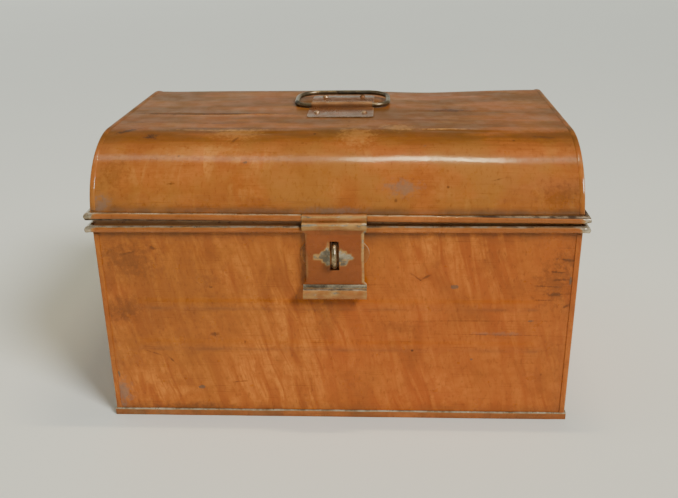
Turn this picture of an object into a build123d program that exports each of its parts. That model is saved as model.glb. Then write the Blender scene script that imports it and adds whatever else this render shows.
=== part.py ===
"""Domed tin trunk: tapered sheet-iron body, domed lid on two butt hinges, hasp and staple, wire carrying handle.

Row frame: origin at the centre of the flat base, +X to the right, +Y to the back, +Z up. Millimetres.
"""

import os
from math import asin, degrees

from build123d import *

# ---- driving dimensions -------------------------------------------------------------------------------------
WIDTH = 457.0  # over the body's end panels, at the rim
DEPTH = 350.0  # over the body's front and back panels, at the rim
RIM_Z = 202.0  # centre of the body's wired rim
LID_Z = 213.0  # centre of the lid's wired rim
TOP_Z = 278.0  # flat top of the lid
TAPER = 3.0  # how far each wall leans in between the rim and the base
SHEET = 0.7  # tinned sheet
WIRE_R = 2.45  # wire inside each rolled rim
BORE_R = 2.5  # inside of the rolled rim
BEAD_R = BORE_R + SHEET
DOME_REACH = 80.0  # front-to-back reach of the lid's quarter-ellipse haunches
LAP = 5.0  # width of the folded seams along the corners
SEAM_H = 8.0  # height of the knocked-up seam round the base
SEAM_T = 1.5  # how far that seam stands out of the walls

# ---- worked out ---------------------------------------------------------------------------------------------
HALF_W = WIDTH / 2
HALF_D = DEPTH / 2
DOME_RISE = TOP_Z - LID_Z
RIM_OUT = BORE_R + 0.05  # centre of a rolled rim, outside the wall it belongs to
RIM_Y = HALF_D + RIM_OUT
RIM_X = HALF_W + RIM_OUT
HINGE_Z = (RIM_Z + LID_Z) / 2
FAR = 600.0  # longer than anything here

# ---- swages pressed into the walls --------------------------------------------------------------------------
SWAGE_Z = (80.0, 124.0)
SWAGE_HALF_W = 5.0
SWAGE_RISE = 1.1
SWAGE_END_GAP = 29.0  # from a swage's end to the corner

# ---- hinges -------------------------------------------------------------------------------------------------
HINGE_X = (-140.0, 140.0)
HINGE_HALF = 30.0
KNUCKLE_HALF = 11.7  # the lid leaf's middle knuckle
KNUCKLE_GAP = 0.3
PIN_R = 1.25
KNUCKLE_R_IN = 1.3
KNUCKLE_R = 2.0
LEAF_DROP = 24.0
LEAF_RISE = 19.0
LEAF_RIVET_DX = 20.0
LEAF_RIVET_R = 1.4

# ---- hasp and staple ----------------------------------------------------------------------------------------
HASP_T = 0.9
HASP_HALF = 30.0
HASP_PLATE_HALF = 27.6
HASP_KNUCKLE_IN = 2.53
HASP_HUMP_IN = 3.0
HASP_HUMP_OUT = 2.3  # centre of the hump, in front of the rims' centres
HASP_HUMP_Z = 205.6
HASP_PLATE_Y = -RIM_Y - 4.25  # middle of the flat plate's thickness
HASP_RETURN = 1.6
CURL_R = 4.4
CURL_Z = 140.0
CURL_LAP_Z = 148.5
SLOT_HALF = 4.2
SLOT_Z = (163.2, 191.7)
STAPLE_Z = 177.5
STAPLE_R = 2.6
STAPLE_HALF = 10.0  # half the distance between its legs
STAPLE_PROUD = 11.0  # beyond the hasp's face
OVAL_A, OVAL_B, OVAL_T = 32.5, 19.0, 2.2

# ---- handle -------------------------------------------------------------------------------------------------
HANDLE_Y = 4.5
HANDLE_WIRE_R = 2.5
SADDLE_IN = 2.8
PLATE_T = 1.0
PLATE_HALF_X = 34.5
SADDLE_HALF_X = 32.8
PLATE_FRONT_Y, PLATE_BACK_Y = -46.0, 67.0
RING_W, RING_D = 100.0, 58.0
NEAR_CORNER, FAR_CORNER = 16.0, 24.0  # bends beside the saddle, and at the grip
REST_OFFSET = 2.5  # the ring's far bar lies on the rear rivets this far behind their middles
HANDLE_RIVETS = ((-25.0, -27.0), (25.0, -27.0), (-21.0, 60.0), (21.0, 60.0))
RIVET_HEAD_R, RIVET_HEAD_H, RIVET_R = 3.5, 2.4, 1.6


# ---- helpers ------------------------------------------------------------------------------------------------
def span(x0, x1, y0, y1, z0, z1):
    """Box between two corners."""
    return Pos((x0 + x1) / 2, (y0 + y1) / 2, (z0 + z1) / 2) * Box(x1 - x0, y1 - y0, z1 - z0)


def lean(z):
    """How far the walls stand inside their rim position at height z."""
    return TAPER * (RIM_Z - z) / RIM_Z


def tapered(grow_x, grow_y, z0, z1):
    """Block that follows the leaning walls: the body's outline grown by grow_x and grow_y."""
    low = Pos(0, 0, z0) * Rectangle(2 * (HALF_W - lean(z0) + grow_x), 2 * (HALF_D - lean(z0) + grow_y))
    high = Pos(0, 0, z1) * Rectangle(2 * (HALF_W - lean(z1) + grow_x), 2 * (HALF_D - lean(z1) + grow_y))
    return loft([low.face(), high.face()], ruled=True)


def along_x(face, x0, x1):
    """Extrudes a section drawn in the Y-Z plane from x0 to x1."""
    return Pos(x0, 0, 0) * extrude(Plane.YZ * face, amount=x1 - x0)


def rod_x(radius, y, z, x0, x1):
    return along_x(Pos(y, z) * Circle(radius), x0, x1)


def rod_y(radius, x, z, y0, y1):
    return Pos(x, y0, z) * (Rot(-90, 0, 0) * Pos(0, 0, (y1 - y0) / 2) * Cylinder(radius, y1 - y0))


def mitre(side):
    """Everything that belongs to one side of the trunk, cut at 45 degrees at its two corners."""
    reach = 20.0
    if side in ("front", "back"):
        s = -1 if side == "front" else 1
        outline = [
            (-HALF_W - reach, s * (HALF_D + reach)),
            (HALF_W + reach, s * (HALF_D + reach)),
            (HALF_W - reach, s * (HALF_D - reach)),
            (-HALF_W + reach, s * (HALF_D - reach)),
        ]
    else:
        s = -1 if side == "left" else 1
        outline = [
            (s * (HALF_W + reach), -HALF_D - reach),
            (s * (HALF_W + reach), HALF_D + reach),
            (s * (HALF_W - reach), HALF_D - reach),
            (s * (HALF_W - reach), -HALF_D + reach),
        ]
    return extrude(make_face(Polyline(*outline, close=True)), amount=FAR)


def rim_rod(side, radius, z):
    """Round bar along one side of a rim, mitred at its corners."""
    if side in ("front", "back"):
        y = -RIM_Y if side == "front" else RIM_Y
        bar = rod_x(radius, y, z, -FAR / 2, FAR / 2)
    else:
        x = -RIM_X if side == "left" else RIM_X
        bar = rod_y(radius, x, z, -FAR / 2, FAR / 2)
    return bar & mitre(side)


def rim_bead(side, z):
    """The rolled edge: a tube of sheet round the rim wire."""
    return rim_rod(side, BEAD_R, z) - rim_rod(side, BORE_R, z)


def rim_wire(z):
    wire = rim_rod("front", WIRE_R, z)
    for side in ("back", "left", "right"):
        wire += rim_rod(side, WIRE_R, z)
    return wire


def half(side):
    """The half of space on one side of the trunk's middle."""
    return {
        "front": span(-FAR, FAR, -FAR, 0, -FAR, FAR),
        "back": span(-FAR, FAR, 0, FAR, -FAR, FAR),
        "left": span(-FAR, 0, -FAR, FAR, -FAR, FAR),
        "right": span(0, FAR, -FAR, FAR, -FAR, FAR),
    }[side]


def rivet(head_r, head_h, shank_r, grip, tail_r, tail_h):
    """Rivet along Z with its domed head above z = 0 and its closed tail below z = -grip."""
    sphere_r = (head_r**2 + head_h**2) / (2 * head_h)
    ball = Pos(0, 0, head_h - sphere_r) * Sphere(sphere_r)
    dome = ball & span(-FAR, FAR, -FAR, FAR, 0, FAR)
    shank = Pos(0, 0, -grip / 2) * Cylinder(shank_r, grip)
    tail = Pos(0, 0, -grip - tail_h / 2) * Cylinder(tail_r, tail_h)
    return dome + shank + tail


# ---- body ---------------------------------------------------------------------------------------------------
def swages(side, skin):
    """The two swages' outer or inner skin on one wall, as long bars; skin is the bars' radius."""
    bar_r = (SWAGE_HALF_W**2 + SWAGE_RISE**2) / (2 * SWAGE_RISE)
    trim = bar_r - skin
    sink = bar_r - SWAGE_RISE
    bars = []
    for z in SWAGE_Z:
        if side in ("front", "back"):
            s = -1 if side == "front" else 1
            reach = HALF_W - SWAGE_END_GAP - trim
            bars.append(rod_x(skin, s * (HALF_D - lean(z) - sink), z, -reach, reach))
        else:
            s = -1 if side == "left" else 1
            reach = HALF_D - SWAGE_END_GAP - trim
            bars.append(rod_y(skin, s * (HALF_W - lean(z) - sink), z, -reach, reach))
    return bars


def with_swages(side, wall):
    """Presses both swages into a wall: ridges outside, grooves inside, one sheet thick."""
    bar_r = (SWAGE_HALF_W**2 + SWAGE_RISE**2) / (2 * SWAGE_RISE)
    inside = tapered(-SHEET, -SHEET, SHEET, RIM_Z)
    for bar in swages(side, bar_r):
        wall += bar - inside
    for bar in swages(side, bar_r - SHEET):
        wall -= bar
    return wall


def long_panel(side):
    """Front or back wall with its rolled rim."""
    wall = tapered(-SHEET, 0, SHEET, RIM_Z) - tapered(-SHEET, -SHEET, SHEET, RIM_Z)
    wall = with_swages(side, wall & half(side))
    return (wall - rim_rod(side, BORE_R, RIM_Z)) + rim_bead(side, RIM_Z)


def end_panel(side, neighbours):
    """End wall with its rolled rim and the folds that lap over the front and back walls."""
    wall = tapered(0, 0, SHEET, RIM_Z) - tapered(-SHEET, 0, SHEET, RIM_Z)
    wall = with_swages(side, wall & half(side))
    top = RIM_Z - BEAD_R - 0.4
    fold = tapered(0, SHEET, SEAM_H, top) - tapered(-LAP, SHEET, SEAM_H, top) - tapered(LAP, 0, SEAM_H, top)
    fold += tapered(0, SHEET, SEAM_H, top) - tapered(-SHEET, SHEET, SEAM_H, top)
    wall += fold & half(side)
    wall = (wall - rim_rod(side, BORE_R, RIM_Z)) + rim_bead(side, RIM_Z)
    for other in neighbours:
        wall -= other
    return wall


def bottom_tray():
    """Floor sheet with its edge knocked up round the foot of the walls."""
    tray = tapered(SEAM_T, SEAM_T, 0, SEAM_H) - tapered(0, 0, SHEET, SEAM_H)
    rim = tray.faces().sort_by(Axis.Z)[-1].outer_wire().edges()
    return fillet(rim, 0.6)


def lip(side):
    """Inner upstand that keeps dust out: joggled in, so that the lid closes over it."""
    inset = 1.7  # outer face of the upstand, inside the wall's outer face at the rim
    thick = 0.6
    foot = tapered(-SHEET, -SHEET, 197, 204) - tapered(-inset - thick, -inset - thick, 197, 204)
    outer = span(-HALF_W + inset, HALF_W - inset, -HALF_D + inset, HALF_D - inset, 203, 217.5)
    upstand = outer - span(
        -HALF_W + inset + thick, HALF_W - inset - thick, -HALF_D + inset + thick, HALF_D - inset - thick, 202, 218
    )
    strip = (foot + upstand) & mitre(side)
    return strip & span(-FAR, FAR, -FAR, HALF_D - 12, -FAR, FAR)


def staple():
    """Wire loop that the hasp drops over, its legs clinched apart inside the body."""
    face_y = HASP_PLATE_Y - HASP_T / 2
    nose_y = face_y - STAPLE_PROUD + STAPLE_R
    inside_y = -HALF_D + lean(STAPLE_Z) + SHEET + 1.0 + STAPLE_R + 0.05
    clinch = 8.0
    route = FilletPolyline(
        (0, inside_y, STAPLE_Z + STAPLE_HALF + clinch),
        (0, inside_y, STAPLE_Z + STAPLE_HALF),
        (0, nose_y, STAPLE_Z + STAPLE_HALF),
        (0, nose_y, STAPLE_Z - STAPLE_HALF),
        (0, inside_y, STAPLE_Z - STAPLE_HALF),
        (0, inside_y, STAPLE_Z - STAPLE_HALF - clinch),
        radius=(3.2, STAPLE_HALF - 0.5, STAPLE_HALF - 0.5, 3.2),
    )
    start = Plane(origin=route @ 0, z_dir=route % 0)
    return sweep(start * Circle(STAPLE_R), path=route)


def staple_plate():
    """Oval plate outside, under the staple."""
    back = -HALF_D + 20
    front = -HALF_D + lean(STAPLE_Z) - OVAL_T
    oval = Plane.XZ * Pos(0, STAPLE_Z) * Ellipse(OVAL_A, OVAL_B)
    plate = Pos(0, back, 0) * extrude(oval, amount=back - front)
    edge = plate.faces().sort_by(Axis.Y)[0].edges()
    return fillet(edge, 1.2) - tapered(0, 0, 100, RIM_Z)


def clinch_plate():
    """Square plate inside, that the staple's legs are clinched on."""
    size = 26.0
    slab = tapered(-SHEET, -SHEET, 100, RIM_Z) - tapered(-SHEET - 1.0, -SHEET - 1.0, 100, RIM_Z)
    top = min(STAPLE_Z + size, 187.5)
    return slab & span(-size / 2, size / 2, -FAR, 0, STAPLE_Z - size, top)


# ---- lid ----------------------------------------------------------------------------------------------------
def dome(inset):
    """The lid's section in Y-Z, moved in by inset: two elliptical haunches and a flat top."""
    reach, rise = DOME_REACH - inset, DOME_RISE - inset
    c = HALF_D - DOME_REACH
    front = EllipticalCenterArc((-c, LID_Z), reach, rise, start_angle=90, arc_size=90)
    back = EllipticalCenterArc((c, LID_Z), reach, rise, start_angle=0, arc_size=90)
    top = Line((-c, LID_Z + rise), (c, LID_Z + rise))
    base = Line((-c - reach, LID_Z), (c + reach, LID_Z))
    return make_face([front, top, back, base])


def lid_crown():
    """Front, top and back of the lid in one sheet, with its rolled rims."""
    section = dome(0) - dome(SHEET)
    for y in (-RIM_Y, RIM_Y):
        section = section + Pos(y, LID_Z) * Circle(BEAD_R) - Pos(y, LID_Z) * Circle(BORE_R)
    reach = HALF_W - SHEET
    sheet = along_x(section, -reach, reach)
    for side in ("front", "back"):
        sheet += rim_bead(side, LID_Z) - span(-reach, reach, -FAR, FAR, -FAR, FAR)
    notch = HASP_HALF + 0.6
    top = LID_Z + HASP_KNUCKLE_IN + HASP_T + 0.8
    return sheet - span(-notch, notch, -HALF_D - 20, -HALF_D + 4, LID_Z - 10, top)


def lid_end(side, crown):
    """End of the lid with its rolled rim, folded over the crown's edge."""
    s = -1 if side == "left" else 1
    low = LID_Z + BEAD_R + 0.4
    x_in, x_out = HALF_W - SHEET, HALF_W
    plate = along_x(dome(0), x_in, x_out)
    above = span(-FAR, FAR, -FAR, FAR, low, FAR)
    edge = along_x(dome(-SHEET) - dome(SHEET), x_in, x_out) & above
    fold = along_x(dome(-SHEET) - dome(0), HALF_W - LAP, x_out) & above
    panel = plate + edge + fold
    if s < 0:
        panel = mirror(panel, about=Plane.YZ)
    panel = (panel - rim_rod(side, BORE_R, LID_Z)) + rim_bead(side, LID_Z)
    return panel - crown


# ---- hinges -------------------------------------------------------------------------------------------------
def body_leaf(x):
    """Leaf riveted inside the back wall; it carries the two outer knuckles."""
    slab = tapered(-SHEET, -SHEET, RIM_Z - LEAF_DROP, HINGE_Z - KNUCKLE_R_IN)
    slab -= tapered(-2 * SHEET, -2 * SHEET, RIM_Z - LEAF_DROP, HINGE_Z - KNUCKLE_R_IN)
    leaf = slab & span(x - HINGE_HALF, x + HINGE_HALF, 0, FAR, 0, FAR)
    shelf_y = HALF_D - 2 * SHEET
    hole = rod_x(KNUCKLE_R_IN, RIM_Y, HINGE_Z, -FAR / 2, FAR / 2)
    for x0, x1 in ((-HINGE_HALF, -KNUCKLE_HALF - KNUCKLE_GAP), (KNUCKLE_HALF + KNUCKLE_GAP, HINGE_HALF)):
        leaf += span(x + x0, x + x1, shelf_y, RIM_Y, HINGE_Z - KNUCKLE_R, HINGE_Z - KNUCKLE_R_IN)
        leaf += rod_x(KNUCKLE_R, RIM_Y, HINGE_Z, x + x0, x + x1) - hole
    gap = KNUCKLE_HALF + KNUCKLE_GAP
    return leaf - span(x - gap, x + gap, 0, FAR, RIM_Z + 2, FAR)


def lid_leaf(x):
    """Leaf riveted inside the lid's back; it carries the middle knuckle."""
    low = HINGE_Z + KNUCKLE_R_IN
    wide = along_x(dome(SHEET) - dome(2 * SHEET), x - HINGE_HALF, x + HINGE_HALF)
    leaf = wide & span(-FAR, FAR, 0, FAR, LID_Z, LID_Z + LEAF_RISE)
    neck = KNUCKLE_HALF
    leaf += span(x - neck, x + neck, HALF_D - 2 * SHEET, HALF_D - SHEET, low, LID_Z + 0.01)
    leaf += span(x - neck, x + neck, HALF_D - 2 * SHEET, RIM_Y, low, HINGE_Z + KNUCKLE_R)
    hole = rod_x(KNUCKLE_R_IN, RIM_Y, HINGE_Z, -FAR / 2, FAR / 2)
    return leaf + (rod_x(KNUCKLE_R, RIM_Y, HINGE_Z, x - neck, x + neck) - hole)


def hinge_pin(x):
    return rod_x(PIN_R, RIM_Y, HINGE_Z, x - HINGE_HALF - 1, x + HINGE_HALF + 1)


def wall_pair(shape, x, z, out_y, tilt):
    """Two copies of a shape made along Z, set through the back at height z with its top outside."""
    return [Pos(x + dx, out_y, z) * Rot(-90 + tilt, 0, 0) * shape for dx in (-LEAF_RIVET_DX, LEAF_RIVET_DX)]


# ---- hasp ---------------------------------------------------------------------------------------------------
def hasp_plate():
    """Strap hinged on the lid's rim wire: knuckle, hump, slotted plate and finger curl."""
    mid_in, mid_out = HASP_PLATE_Y + HASP_T / 2, HASP_PLATE_Y - HASP_T / 2
    hump_y = -RIM_Y - HASP_HUMP_OUT
    knuckle = rod_x(HASP_KNUCKLE_IN + HASP_T, -RIM_Y, LID_Z, -HASP_HALF, HASP_HALF)
    bore = rod_x(HASP_KNUCKLE_IN, -RIM_Y, LID_Z, -HASP_HALF, HASP_HALF)
    hump = rod_x(HASP_HUMP_IN + HASP_T, hump_y, HASP_HUMP_Z, -HASP_HALF, HASP_HALF)
    hump -= rod_x(HASP_HUMP_IN, hump_y, HASP_HUMP_Z, -HASP_HALF, HASP_HALF)
    foot = HASP_HUMP_Z - 2.8  # where the hump runs out into the plate
    hump &= span(-FAR, FAR, -FAR, hump_y + 0.3, foot - 1.5, FAR)
    hump &= span(-FAR, FAR, -FAR, mid_in, -FAR, HASP_HUMP_Z) + span(-FAR, FAR, -FAR, FAR, HASP_HUMP_Z, FAR)
    waist = span(-HASP_HALF, HASP_HALF, hump_y - 0.6, hump_y + 0.3, HASP_HUMP_Z + HASP_HUMP_IN, LID_Z - 1.6)
    strap = knuckle + waist - bore + hump
    shoulder = 3.5  # height over which the strap narrows to the plate
    low, high = CURL_LAP_Z, foot
    outline = Polyline(
        (-HASP_HALF, high + 0.5),
        (HASP_HALF, high + 0.5),
        (HASP_HALF, high),
        (HASP_PLATE_HALF, high - shoulder),
        (HASP_PLATE_HALF, low + shoulder),
        (HASP_HALF, low),
        (HASP_HALF, CURL_Z),
        (-HASP_HALF, CURL_Z),
        (-HASP_HALF, low),
        (-HASP_PLATE_HALF, low + shoulder),
        (-HASP_PLATE_HALF, high - shoulder),
        (-HASP_HALF, high),
        close=True,
    )
    flat = Pos(0, mid_in, 0) * extrude(Plane.XZ * make_face(outline), amount=HASP_T)
    curl_y = mid_in - CURL_R
    curl = rod_x(CURL_R, curl_y, CURL_Z, -HASP_HALF, HASP_HALF)
    core = rod_x(CURL_R - HASP_T, curl_y, CURL_Z, -HASP_HALF, HASP_HALF)
    curl_lap = span(-HASP_HALF, HASP_HALF, mid_out - HASP_T, mid_out, CURL_Z + 2, CURL_LAP_Z)
    strap += flat + curl + curl_lap - core
    for s in (-1, 1):
        x0, x1 = sorted((s * HASP_PLATE_HALF, s * (HASP_PLATE_HALF - HASP_T)))
        strap += span(x0, x1, mid_in, mid_in + HASP_RETURN, low + shoulder, high - shoulder)
    slot = span(-SLOT_HALF, SLOT_HALF, mid_out - 1, mid_in + 1, *SLOT_Z)
    slot = fillet(slot.edges().filter_by(Axis.Y), 1.2)
    return strap - slot


# ---- handle -------------------------------------------------------------------------------------------------
def handle_axis_z():
    return TOP_Z + SADDLE_IN


def handle_plate():
    """Plate riveted on the lid, humped across its middle over the handle's wire."""
    y0, y1 = PLATE_FRONT_Y, PLATE_BACK_Y
    plate = span(-PLATE_HALF_X, PLATE_HALF_X, y0, y1, TOP_Z, TOP_Z + PLATE_T)
    plate = fillet(plate.edges().filter_by(Axis.Z), 3)
    z = handle_axis_z()
    outer, inner = SADDLE_IN + PLATE_T, SADDLE_IN
    hump = rod_x(outer, HANDLE_Y, z, -SADDLE_HALF_X, SADDLE_HALF_X)
    hump += span(-SADDLE_HALF_X, SADDLE_HALF_X, HANDLE_Y - outer, HANDLE_Y + outer, TOP_Z, z)
    hump &= span(-FAR, FAR, -FAR, FAR, TOP_Z, FAR)
    tunnel = rod_x(inner, HANDLE_Y, z, -FAR / 2, FAR / 2)
    tunnel += span(-FAR / 2, FAR / 2, HANDLE_Y - inner, HANDLE_Y + inner, TOP_Z - 1, z)
    return plate + hump - tunnel


def ring_tilt():
    """Angle at which the ring comes to rest on the two rear rivets, in degrees."""
    sphere_r = (RIVET_HEAD_R**2 + RIVET_HEAD_H**2) / (2 * RIVET_HEAD_H)
    apart = sphere_r + HANDLE_WIRE_R + 0.2
    seat = TOP_Z + PLATE_T + RIVET_HEAD_H - sphere_r + (apart**2 - REST_OFFSET**2) ** 0.5
    return degrees(asin((seat - handle_axis_z()) / RING_D))


def handle_ring():
    """Closed wire loop, lying back on the rear rivets."""
    w, d = RING_W / 2, RING_D
    loop = make_face(Polyline((-w, 0), (w, 0), (w, d), (-w, d), close=True))
    loop = fillet(loop.vertices().sort_by(Axis.Y)[:2], NEAR_CORNER)
    loop = fillet(loop.vertices().filter_by_position(Axis.Y, d - 1, d + 1), FAR_CORNER)
    wire = loop.face().outer_wire()
    start = Plane(origin=wire @ 0, z_dir=wire % 0)
    ring = sweep(start * Circle(HANDLE_WIRE_R), path=wire)
    return Pos(0, HANDLE_Y, handle_axis_z()) * Rot(ring_tilt(), 0, 0) * ring


def handle_rivets():
    one = rivet(RIVET_HEAD_R, RIVET_HEAD_H, RIVET_R, PLATE_T + SHEET + 0.8, 2.6, 1.0)
    return [Pos(x, y, TOP_Z + PLATE_T) * one for x, y in HANDLE_RIVETS]


def handle_burrs():
    """Washers under the lid, one on each rivet."""
    z = TOP_Z - SHEET - 0.4
    return [Pos(x, y, z) * (Cylinder(5.0, 0.8) - Cylinder(RIVET_R, 0.8)) for x, y in HANDLE_RIVETS]


# ---- assembly -----------------------------------------------------------------------------------------------
def minus(shape, cutters):
    for cutter in cutters:
        shape = shape - cutter
    return shape


def build():
    parts = {}
    body_tilt = degrees(asin(TAPER / RIM_Z))
    body_rivet_z, lid_rivet_z = RIM_Z - 14, LID_Z + 11
    slope = (lid_rivet_z - LID_Z) / DOME_RISE
    lid_rivet_y = HALF_D - DOME_REACH * (1 - (1 - slope**2) ** 0.5)
    lid_tilt = degrees(asin(slope)) * DOME_REACH / DOME_RISE
    names = ("left", "right")
    body_rivet = rivet(2.8, 1.3, LEAF_RIVET_R, 2 * SHEET, 2.3, 0.8)
    lid_rivet = rivet(2.8, 1.3, LEAF_RIVET_R, 2 * SHEET + 0.08, 2.3, 0.8)
    hole = Cylinder(LEAF_RIVET_R, 12)
    body_place = (body_rivet_z, HALF_D - lean(body_rivet_z), -body_tilt)
    lid_place = (lid_rivet_z, lid_rivet_y, lid_tilt)
    sides = tuple(zip(names, HINGE_X))
    body_holes = {name: wall_pair(hole, x, *body_place) for name, x in sides}
    lid_holes = {name: wall_pair(hole, x, *lid_place) for name, x in sides}

    loop = staple()
    parts["bottom_tray"] = bottom_tray()
    parts["front_panel"] = long_panel("front") - loop
    parts["back_panel"] = minus(long_panel("back"), body_holes["left"] + body_holes["right"])
    for side in names:
        parts[f"{side}_end_panel"] = end_panel(side, [parts["front_panel"], parts["back_panel"]])
    parts["body_rim_wire"] = rim_wire(RIM_Z)
    for side in ("front", "left", "right"):
        parts[f"{side}_dust_lip"] = lip(side)
    parts["staple"] = loop
    parts["staple_plate"] = staple_plate() - loop
    parts["staple_clinch_plate"] = clinch_plate() - loop

    rivets = handle_rivets()
    crown = minus(lid_crown(), lid_holes["left"] + lid_holes["right"] + rivets)
    parts["lid_crown"] = crown
    for side in names:
        parts[f"lid_{side}_end"] = lid_end(side, crown)
    parts["lid_rim_wire"] = rim_wire(LID_Z)

    for name, x in sides:
        parts[f"{name}_hinge_body_leaf"] = minus(body_leaf(x), body_holes[name])
        parts[f"{name}_hinge_lid_leaf"] = minus(lid_leaf(x), lid_holes[name])
        parts[f"{name}_hinge_pin"] = hinge_pin(x)
        parts[f"{name}_hinge_body_rivets"] = Compound(children=wall_pair(body_rivet, x, *body_place))
        parts[f"{name}_hinge_lid_rivets"] = Compound(children=wall_pair(lid_rivet, x, *lid_place))

    parts["hasp"] = hasp_plate()
    parts["handle_plate"] = minus(handle_plate(), rivets)
    parts["handle_ring"] = handle_ring()
    parts["handle_rivets"] = Compound(children=rivets)
    parts["handle_rivet_burrs"] = Compound(children=handle_burrs())
    return parts


os.makedirs("parts", exist_ok=True)
for name, shape in build().items():
    export_step(shape, f"parts/{name}.step")
    print(f"{name:28s} solids {len(shape.solids())} volume {shape.volume:9.0f}")
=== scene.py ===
"""Looks of the domed tin trunk: wavy painted sheet with rolled rims, folded seams, worn hardware.

Metres, in the frame's own axes: +X to the right, +Y to the hinged back, +Z up, origin at the middle of
the base.
"""

from math import asin, cos, hypot, pi, radians, sin, sqrt

import bpy
import numpy as np
from mathutils import Matrix, Vector, noise


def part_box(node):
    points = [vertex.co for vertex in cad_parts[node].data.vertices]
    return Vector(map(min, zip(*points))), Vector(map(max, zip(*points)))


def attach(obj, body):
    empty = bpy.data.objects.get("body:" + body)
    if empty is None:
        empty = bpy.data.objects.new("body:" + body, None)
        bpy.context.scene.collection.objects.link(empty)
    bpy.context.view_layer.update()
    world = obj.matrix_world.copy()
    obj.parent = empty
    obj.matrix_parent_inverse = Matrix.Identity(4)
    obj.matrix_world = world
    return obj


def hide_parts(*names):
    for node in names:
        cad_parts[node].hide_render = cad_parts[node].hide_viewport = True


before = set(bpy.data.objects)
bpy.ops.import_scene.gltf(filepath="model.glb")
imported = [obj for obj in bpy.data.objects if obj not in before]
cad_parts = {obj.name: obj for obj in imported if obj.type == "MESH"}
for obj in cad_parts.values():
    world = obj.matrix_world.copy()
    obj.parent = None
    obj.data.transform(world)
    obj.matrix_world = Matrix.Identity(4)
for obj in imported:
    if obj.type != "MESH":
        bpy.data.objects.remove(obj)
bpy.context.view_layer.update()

MM = 0.001

# ---- sizes from the frame ----
_, tray_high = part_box("bottom_tray")
rim_low, rim_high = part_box("body_rim_wire")
lid_rim_low, lid_rim_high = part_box("lid_rim_wire")
_, crown_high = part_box("lid_crown")
ring_low, ring_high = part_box("handle_ring")
plate_low, plate_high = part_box("handle_plate")
_, hasp_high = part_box("hasp")
staple_low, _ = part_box("staple")

SHEET = 0.7 * MM
HALF_SHEET = SHEET / 2
WIRE_R = (rim_high.z - rim_low.z) / 2
RIM_Z = (rim_high.z + rim_low.z) / 2
LID_Z = (lid_rim_high.z + lid_rim_low.z) / 2
RIM_X = rim_high.x - WIRE_R
RIM_Y = rim_high.y - WIRE_R
GAP = 0.05 * MM  # between a rim's wire and its roll, and between the roll and its wall
ROLL_R = WIRE_R + GAP + HALF_SHEET  # middle of the rolled sheet
RIM_OUT = ROLL_R - HALF_SHEET + GAP  # rim centre, outside its wall
HALF_W = RIM_X - RIM_OUT
HALF_D = RIM_Y - RIM_OUT
TOP_Z = crown_high.z
SEAM_OUT = 1.5 * MM
SEAM_H = tray_high.z
TAPER = HALF_W + SEAM_OUT - tray_high.x
DOME_REACH = 80 * MM
DOME_RISE = TOP_Z - LID_Z
LAP = 5 * MM  # width of the folded corner seams
LID_TWIST = 1.9 * MM  # the left front corner of the lid stands this much high, the right one low


# ---- mesh helpers ----
def ease(x, low, high):
    """Smooth step from 0 at low to 1 at high."""
    t = np.clip((np.asarray(x, float) - low) / (high - low), 0, 1)
    return t * t * (3 - 2 * t)


def ease_mm(x, low, high):
    """The same, with low and high in millimetres."""
    return ease(x, low * MM, high * MM)


def bell(x, centre, width, power=2):
    """Bell curve of height 1 at its centre, given in millimetres like its width."""
    return np.exp(-(((x - centre * MM) / (width * MM)) ** power))


def columns(*parts):
    """Table with a column for each part; a single number is repeated down its column."""
    return np.stack(np.broadcast_arrays(*parts), axis=-1)


SEED_STEP = 7.3  # keeps the patterns of different seeds apart


def ripple(points, size, seed):
    """Smooth noise, about -1 to 1, at each point of an array whose last axis is x, y, z."""
    flat = np.asarray(points).reshape(-1, 3) / size + seed * SEED_STEP
    values = [noise.noise(Vector(p)) for p in flat]
    return np.array(values).reshape(np.asarray(points).shape[:-1])


def waves(points, sizes, seed=0):
    """Sum of ripples, each given by its height and size in millimetres and its own seed."""
    return sum(height * MM * ripple(points, size * MM, seed + own) for height, size, own in sizes)


def add_object(name, vertices, faces, attributes=None, face_slots=None):
    mesh = bpy.data.meshes.new(name)
    mesh.from_pydata([tuple(v) for v in vertices], [], [tuple(f) for f in faces])
    for key, values in (attributes or {}).items():
        values = np.asarray(values, float)
        kind = "FLOAT_VECTOR" if values.ndim == 2 else "FLOAT"
        layer = mesh.attributes.new(key, kind, "POINT")
        layer.data.foreach_set("vector" if values.ndim == 2 else "value", values.ravel())
    if face_slots is not None:
        mesh.polygons.foreach_set("material_index", np.asarray(face_slots, np.int32))
    mesh.update()
    obj = bpy.data.objects.new(name, mesh)
    bpy.context.scene.collection.objects.link(obj)
    return obj


def settle(obj, sharp=35):
    """Applies the modifiers, smooths the shading and keeps real edges sharp."""
    depsgraph = bpy.context.evaluated_depsgraph_get()
    mesh = bpy.data.meshes.new_from_object(obj.evaluated_get(depsgraph))
    obj.modifiers.clear()
    obj.data = mesh
    mesh.polygons.foreach_set("use_smooth", np.ones(len(mesh.polygons), bool))
    mesh.set_sharp_from_angle(angle=radians(sharp))
    return obj


def grid_cells(rows, cols, keep=None, wrap=False):
    """Corner indices of a grid's quads; keep is a table of the cells that stay."""
    faces, kept = [], []
    for i in range(rows - 1):
        for j in range(cols if wrap else cols - 1):
            if keep is not None and not keep[i][j]:
                continue
            k = (j + 1) % cols
            faces.append((i * cols + j, i * cols + k, (i + 1) * cols + k, (i + 1) * cols + j))
            kept.append((i, j))
    return faces, kept


def paint_data(grains, wear_and_sheen_rows, dirt_and_shade_rows, **others):
    """What the paint reads at each point: its place in the grain, its wear with painted highlights, its dirt
    with painted shade and any others.
    """
    parts = {"grain": grains, "wear_and_sheen": wear_and_sheen_rows, "dirt_and_shade": dirt_and_shade_rows, **others}
    return {key: np.array(values, float) for key, values in parts.items()}


def flattened(attributes):
    """The same attributes for a plain list of points instead of a grid."""
    return {key: v.reshape(-1, 3) if v.ndim == 3 else v.ravel() for key, v in attributes.items()}


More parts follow.
